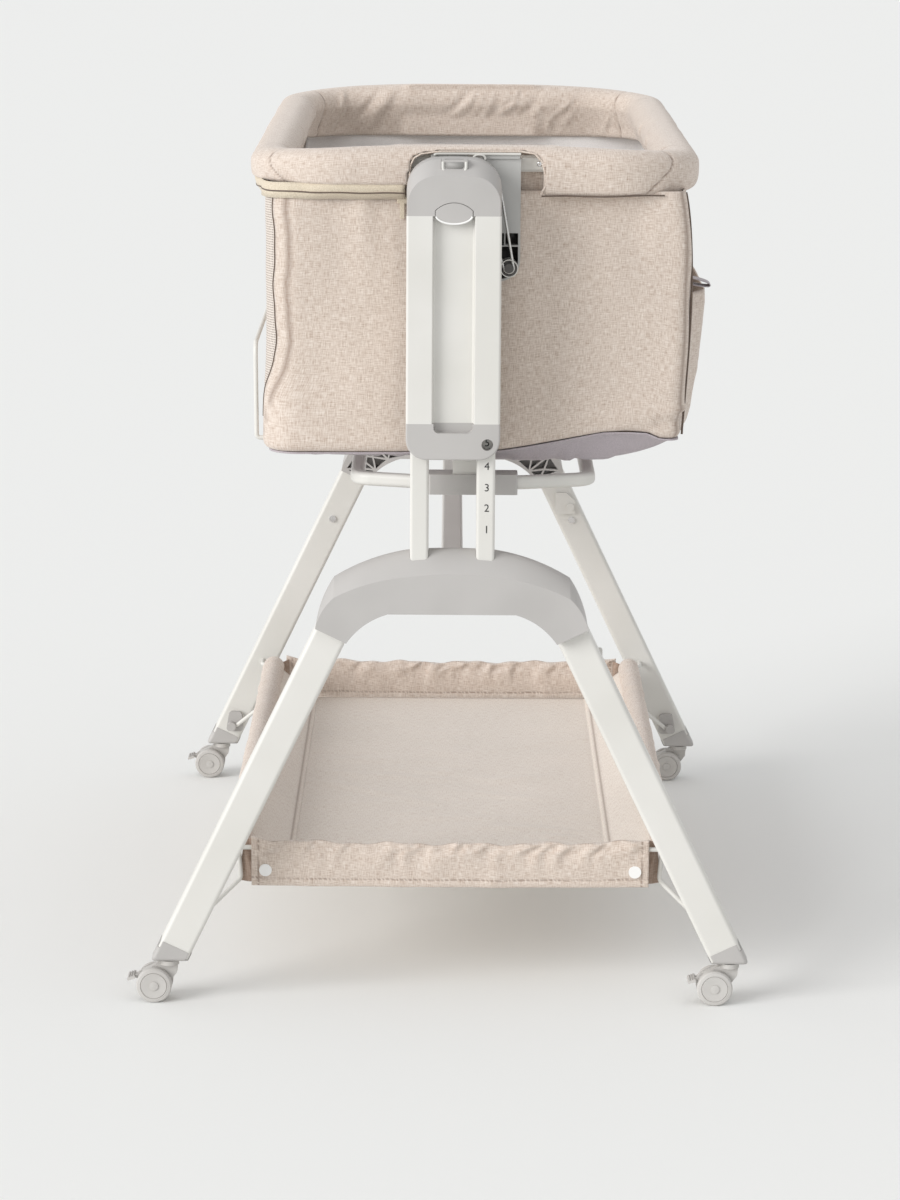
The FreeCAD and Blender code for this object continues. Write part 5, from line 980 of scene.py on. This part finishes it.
def end_hem(end, word):
    """Folded end panel of the basket over its crossbar: sags in the middle, puckered over the bar."""
    xs = np.linspace(-HEM_X, HEM_X, 230)
    section = []
    for k in range(64):
        a = 2 * math.pi * k / 64
        c, s = math.cos(a), math.sin(a)
        section.append((HEM_THICK / 2 * math.copysign(abs(c) ** 0.55, c), math.copysign(abs(s) ** 0.35, s)))
    share = 1 - (xs / HEM_X) ** 2
    top = HEM_TOP + 0.0005 - 0.0055 * share ** 0.6 + 0.0012 * np.sin(xs * 83) + 0.0008 * np.sin(xs * 190 + 1)
    low = FLOOR_Z - 0.0012 * share
    bar = (0.1300 - 0.0035 * share)[:, None]
    middle_y = end * (HEM_Y - 0.0043)
    grid = np.array([[(x, middle_y + q, (t + b) / 2 + (t - b) / 2 * w) for q, w in section]
                     for x, t, b in zip(xs, top, low)])
    u = np.broadcast_to(xs[:, None], grid.shape[:2])
    v = grid[:, :, 2]
    above = ease((v - bar - 0.002) / 0.006)
    out = above * folds(u, v, 51 + end, 62, (-0.2, 0.2), (0.136, 0.156), (10, 60), (0.007, 0.020),
                        (0.0026, 0.0055), (0.0010, 0.0032))
    out += folds(u, v, 57 + end, 20, (-0.2, 0.2), (0.11, 0.15), (0, 180), (0.02, 0.05), (0.006, 0.012),
                 (0.0003, 0.0010))
    out += 0.0014 * hump(v - bar, 0.0035) - 0.0008 * ease((bar - v) / 0.006)
    front = np.sign(grid[:, :, 1] - middle_y)
    grid[:, :, 1] += np.clip(out, -0.0012, 0.0026) * front
    line = 0.1170 - 0.0022 * share[:, None]
    waves = 2 * math.pi / STITCH_PITCH
    stitch = hump(v - line, 0.0006) * (np.sin(u * waves) > -0.5)
    ends = hump(np.abs(u) - (HEM_X - 0.007), 0.0006) * (np.sin(v * waves) > -0.5)
    shade = np.maximum(stitch, ends) * 0.7
    grid[:, :, 1] -= front * 0.0008 * hump(v - line, 0.0016)
    obj = cloth_grid("basket_hem_%s" % word, grid, LINEN, around=True, seam=shade)
    close_and_turn(obj, fill=True)
    belong(obj, "stand")


def corner_flap(side, end):
    """Crumpled end of a side panel, in shade beside the end panel."""
    t, w = np.meshgrid(np.linspace(0, 1, 9), np.linspace(0, 1, 7), indexing="ij")
    x = side * (HEM_X - 0.004 + w * (0.012 + 0.006 * t))
    y = end * (0.3915 - 0.004 * w + 0.0016 * np.sin(9 * w + 7 * t))
    z = 0.1560 - 0.004 * w - (0.044 + 0.002 * np.sin(5 * w)) * t
    # Painted shade: the flap is drawn in the browner copy of the linen.
    flap = cloth_grid("basket_flap", np.stack([x, y, z], axis=2), LINEN_SHADE)
    finish_cloth(flap, 0.0012, levels=1)
    belong(flap, "stand")


basket_tray()
for end, word in NEAR_AND_FAR:
    padded_sleeve(end)
    end_hem(end, word)
    corner_flap(-1, end)
    corner_flap(1, end)


# ------------------------------------------------------------------ side pocket


def pocket_bag():
    """Long open pocket on the right wall, bellied and hemmed, down to the wall's lower edge."""
    plane = SHIFT + WALL_X + 0.0003
    ys = np.linspace(-POCKET_Y, POCKET_Y, 150)
    levels = np.linspace(POCKET_Z[0], POCKET_Z[-1], 34)
    outs = np.interp(-levels, [-z for z in POCKET_Z], POCKET_OUT)
    grid = np.array([[(plane + x, y, z) for x, z in zip(outs, levels)] for y in ys])
    pull = ease((POCKET_Y - np.abs(ys)) / 0.03)[:, None]
    wall = plane + 0.0012 + swell(np.full(grid.shape[:2], 0.224), grid[:, :, 1], grid[:, :, 2])
    grid[:, :, 0] = wall + np.maximum(grid[:, :, 0] - wall, 0.0) * (0.10 + 0.90 * pull)
    u = np.broadcast_to(ys[:, None], grid.shape[:2])
    v = grid[:, :, 2]
    out = folds(u, v, 61, 34, (-0.33, 0.33), (0.56, 0.69), (50, 130), (0.015, 0.05), (0.005, 0.010),
                (0.0005, 0.0018))
    grid[:, :, 0] -= np.minimum(np.abs(out), np.maximum(grid[:, :, 0] - wall - 0.0008, 0)) * pull
    shade = hump(v - 0.6860, 0.0008) * 0.5
    obj = cloth_grid("pocket_bag", grid, LINEN, seam=shade)
    finish_cloth(obj, 0.0016)
    belong(obj, "bassinet", "side_pocket")


pocket_bag()


def webbing_tab():
    """Folded loop of webbing sewn above the pocket."""
    path = [(0.2322, 0.7112), (0.2430, 0.7085), (0.2508, 0.7060), (0.2525, 0.7037), (0.2506, 0.7018),
            (0.2420, 0.7030), (0.2330, 0.7045)]
    ys = np.linspace(-0.335, -0.312, 8)
    obj = cloth_grid("webbing_tab", [[(x, y, z) for x, z in path] for y in ys], WEBBING)
    finish_cloth(obj, 0.0012, levels=1)
    belong(obj, "bassinet")


webbing_tab()


# ------------------------------------------------------------------ zip, piping and small marks


def zip_band():
    """Zip under the rim, from the near bracket round the left side: two tapes and dark teeth."""
    rim, rim_way, rim_s = outline(RIM_X, RIM_Y, RIM_CORNER, spacing=0.004)
    wall, wall_way = wall_plan(0.0015)[:2]
    keep = [i for i, (x, y) in enumerate(rim) if x < -0.0465 and not (y > 0.37 and x > -0.13)]
    rows = [[], [], [], []]
    for i in reversed(keep):
        beside = int(np.argmin(np.linalg.norm(wall - rim[i], axis=1)))
        low = wall[beside] + wall_way[beside] * 0.0030
        clear = float(np.dot(low - rim[i], rim_way[i]))
        high = rim[i] + rim_way[i] * max(-0.0022, clear)
        for row, share, level in zip(rows, (0.0, 0.06, 0.22, 1.0), (0.8078, 0.8040, 0.7992, 0.7925)):
            x, y = high + (low - high) * share
            row.append((x, y, level + 0.0003 * math.sin(rim_s[i] * 130)))
    tape = cloth_grid("zip_tape", rows, TAPE)
    finish_cloth(tape, 0.0010)
    belong(tape, "bassinet")
    way = [Vector((x, y, 0)).normalized() * 0.0006 for x, y, z in rows[2]]
    line = [Vector(p) + w for p, w in zip(rows[2], way)]
    belong(round_tube("zip_teeth", line, 0.00075, DARK_CORD), "bassinet")


zip_band()


def wall_piping():
    """Dark piping down the right corners of the bassinet, following the side's swell."""
    corner_x, corner_y = SHIFT + WALL_X - 0.0003, 0.3728
    for end, word in NEAR_AND_FAR:
        path = []
        for z in np.linspace(RIM_LOW + 0.002, float(tub_edge(corner_x)) + 0.004, 40):
            out = float(swell(corner_x, end * corner_y, z))
            path.append((corner_x + out + 0.0004, end * corner_y, z))
        belong(round_tube("wall_piping_%s" % word, path, 0.0011, DARK_CORD), "bassinet")


wall_piping()


def height_marks():
    """Printed numbers for the height positions: four on each right-hand post, one in the window."""
    levels = (("1", 0.480), ("2", 0.501), ("3", 0.521), ("4", 0.542), ("5", 0.565))
    for end, word in NEAR_AND_FAR:
        for digit, level in levels:
            bpy.ops.object.text_add(location=(-end * 0.033, end * 0.44605, level),
                                    rotation=(math.pi / 2, 0, 0.0 if end < 0 else math.pi))
            mark = active()
            mark.name = "height_mark_%s_%s" % (word, digit)
            mark.data.body = digit
            mark.data.size = 0.0105
            mark.data.align_x = "CENTER"
            mark.data.align_y = "CENTER"
            mark.data.extrude = 0.00012
            bpy.ops.object.convert(target="MESH")
            mark = active()
            settle(mark)
            mark.data.materials.append(INK)
            belong(mark, "stand")


height_marks()


def rim_screw(end, word):
    """Domed screw head with a shallow recess, facing outwards beside the bracket."""
    radius = 0.0030
    bpy.ops.mesh.primitive_uv_sphere_add(segments=20, ring_count=12, radius=radius, location=(0, 0, 0))
    head = active()
    head.name = "rim_screw_%s" % word
    shape = bmesh.new()
    shape.from_mesh(head.data)
    bmesh.ops.bisect_plane(shape, geom=shape.verts[:] + shape.edges[:] + shape.faces[:],
                           plane_co=(0, 0, 0), plane_no=(0, 0, -1), clear_outer=True)
    bmesh.ops.holes_fill(shape, edges=shape.edges, sides=0)
    for vertex in shape.verts:
        vertex.co.z *= 0.5
        r = math.hypot(vertex.co.x, vertex.co.y)
        if r < radius * 0.35 and vertex.co.z > 0.0001:
            vertex.co.z -= radius * 0.22
    shape.to_mesh(head.data)
    shape.free()
    head.rotation_euler = Vector((0, end, 0)).to_track_quat("Z", "Y").to_euler()
    head.location = (0.082, end * (WALL_Y + 0.0001), 0.8270)
    settle(head)
    head.data.shade_smooth()
    head.data.materials.append(CHROME)
    belong(head, "bassinet")


for end, word in NEAR_AND_FAR:
    rim_screw(end, word)


def raised_edge(name, spots, radius, material, body):
    edge = round_tube(name, resample([Vector(p) for p in spots], 0.0006), radius, material, sides=12)
    belong(edge, body)


def arc_points(centre_x, centre_z, radius_x, radius_z, first, last, count=14):
    steps = [math.radians(first + (last - first) * i / count) for i in range(count + 1)]
    return [(centre_x + radius_x * math.cos(a), centre_z + radius_z * math.sin(a)) for a in steps]


def u_path(half, foot, bend, top):
    """Upright, round the foot and up again."""
    path = [(-half, top)]
    path += arc_points(-half + bend, foot + bend, bend, bend, 180, 270, 8)
    path += arc_points(half - bend, foot + bend, bend, bend, 270, 360, 8)
    return path + [(half, top)]


def flat_plate(name, corners, material, body):
    """Thin flat plate through the given corners."""
    mesh = bpy.data.meshes.new(name)
    mesh.from_pydata(corners, [], [tuple(range(len(corners)))])
    mesh.materials.append(material)
    plate = new_object(name, mesh)
    finish_cloth(plate, 0.0003)
    belong(plate, body)


def latch_lip(word, end):
    """Moulded lip, open at the top, round the finger hollow of the swing latch, drawn off-white as a painted
    highlight; a darker plate in the hollow is painted shade.
    """
    low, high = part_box("%s_swing_latch" % word)
    front = low[1] if end < 0 else high[1]
    half, bend, foot = (high[0] - low[0]) / 2 - 0.0014, 0.0050, low[2] + 0.0042
    path = u_path(half, foot, bend, high[2] - 0.0016)
    spots = [(-end * x, front + end * 0.0004, z) for x, z in path]
    # Painted highlight: the lip is drawn in the off-white, not in the latch's grey.
    raised_edge("latch_lip_%s" % word, spots, 0.0014, SHELL_AND_HIGHLIGHT, "%s_latch" % word)
    top, sole = high[2] - 0.0022, foot + 0.0022
    corners = ((-half, top), (-half, foot + bend), (-half + bend, sole), (half - bend, sole),
               (half, foot + bend), (half, top))
    # Painted shade: a thin darker plate standing in for the shade inside the finger hollow.
    hollow = [(-end * x * 0.80, front + end * 0.0002, z) for x, z in corners]
    flat_plate("latch_hollow_shade_%s" % word, hollow, SHADOW_GREY, "%s_latch" % word)


def button_lip(word, end):
    """Lip under the release button's lower edge, drawn pale as a painted highlight."""
    low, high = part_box("%s_release_button" % word)
    front = low[1] if end < 0 else high[1]
    half = (high[0] - low[0]) / 2
    path = arc_points(0, low[2] + 0.0088, half - 0.0004, 0.0086, 190, 350, 24)
    spots = [(-end * x, front - end * 0.0002, z) for x, z in path]
    # Painted highlight: the lip is drawn in the snaps' white, not in the button's grey.
    raised_edge("button_lip_%s" % word, spots, 0.0009, SNAP_AND_HIGHLIGHT, "%s_button" % word)


def bracket_details(word, end):
    """Pale flange over the bracket, a hook ring beside the latch, dark plates of painted shade in the hollows
    and pale disc rims.
    """
    low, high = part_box("%s_bracket" % word)
    front = low[1] if end < 0 else high[1]
    centre = (low[0] + high[0]) / 2
    top = high[2] + 0.0012

    def outward(points, out):
        return [(centre - end * (x - SHIFT), front + end * out, z) for x, z in points]

    bar = outward([(-0.0195, top - 0.0016), (-0.0175, top), (0.0635, top)], 0.0012)
    raised_edge("bracket_flange_%s" % word, bar, 0.0014, SHELL_AND_HIGHLIGHT, "bassinet")
    ring = outward(arc_points(0.0238, top - 0.0040, 0.0058, 0.0032, 205, -25, 18), 0.0030)
    raised_edge("hook_ring_%s" % word, ring, 0.0010, SHELL_AND_HIGHLIGHT, "bassinet")
    floor = (high[1] if end < 0 else low[1]) + end * RIB_FLOOR
    half = (high[0] - low[0]) / 2 - RIB_WALL - 0.0003
    foot = low[2] + RIB_WALL + 0.0003
    split, upper = low[2] + RIB_LEVEL, RIB_TOP - 0.0009
    cells = [u_path(half, foot, 0.0176, split - 0.0010)]
    rib = (high[0] - low[0]) / 2 - 0.015
    gap = 0.0009
    for left, right in ((-half, -rib - gap), (-rib + gap, -0.0013), (0.0013, rib - gap), (rib + gap, half)):
        cells.append([(left, split + 0.0010), (right, split + 0.0010), (right, upper), (left, upper)])
    # Painted shade: a dark plate on the floor of each of the bracket's hollows.
    for cell in cells:
        flat_plate("rib_shadow_%s" % word, [(centre + x, floor, z) for x, z in cell], DARK_PLASTIC_AND_SHADE, "bassinet")
    for x in (low[0] + DISC_RADIUS + 0.0024, high[0] - DISC_RADIUS - 0.0024):
        rim = arc_points(0, DISC_LEVEL, DISC_RADIUS, DISC_RADIUS, 0, 345, 23)
        spots = [(x + a, front + end * 0.0083, z) for a, z in rim]
        ring = round_tube("disc_ring_%s" % word, spots, 0.0005, SHELL_AND_HIGHLIGHT, closed=True)
        belong(ring, "bassinet")


for end, word in NEAR_AND_FAR:
    latch_lip(word, end)
    button_lip(word, end)
    bracket_details(word, end)


# ------------------------------------------------------------------ stage, light and camera


def backdrop():
    bpy.ops.mesh.primitive_plane_add(size=90, location=(0, 20, 0))
    floor = active()
    floor.name = "studio_floor"
    settle(floor)
    floor.data.materials.append(new_material("matt_studio_paper", "#f0f0ee", 0.95)[0])


backdrop()

world = bpy.data.worlds.new("studio")
bpy.context.scene.world = world
world.use_nodes = True
sky = world.node_tree.nodes["Background"]
sky.inputs["Color"].default_value = hex_colour("#f6f7f8")
sky.inputs["Strength"].default_value = 0.78


def broad_sun(name, towards, angle, strength):
    """Very soft sun: an even light over the whole floor, with faint shadows."""
    lamp = bpy.data.lights.new(name, "SUN")
    lamp.angle = math.radians(angle)
    lamp.energy = strength
    obj = new_object(name, lamp)
    obj.location = towards
    obj.rotation_euler = (-Vector(towards)).to_track_quat("-Z", "Y").to_euler()


# Key light from the left and a little in front; the pale sky fills the rest.
broad_sun("key_left", (-0.78, -0.52, 0.36), 36, 2.2)

# Camera solved from the four feet and the rim: it looks down by 12.2 degrees and is barely rolled.
LOOKS_DOWN, ROLL = 12.2, 0.35
camera = bpy.data.cameras.new("camera")
camera.sensor_fit = "VERTICAL"
camera.sensor_height = 36
camera.lens = 112.4
camera.clip_end = 200
eye = new_object("camera", camera)
tilt = Matrix.Rotation(math.radians(90 - LOOKS_DOWN), 4, "X") @ Matrix.Rotation(math.radians(ROLL), 4, "Z")
eye.matrix_world = Matrix.Translation((-0.0018, -3.9934, 1.1776)) @ tilt
bpy.context.scene.camera = eye
bpy.context.scene.view_settings.view_transform = "Standard"
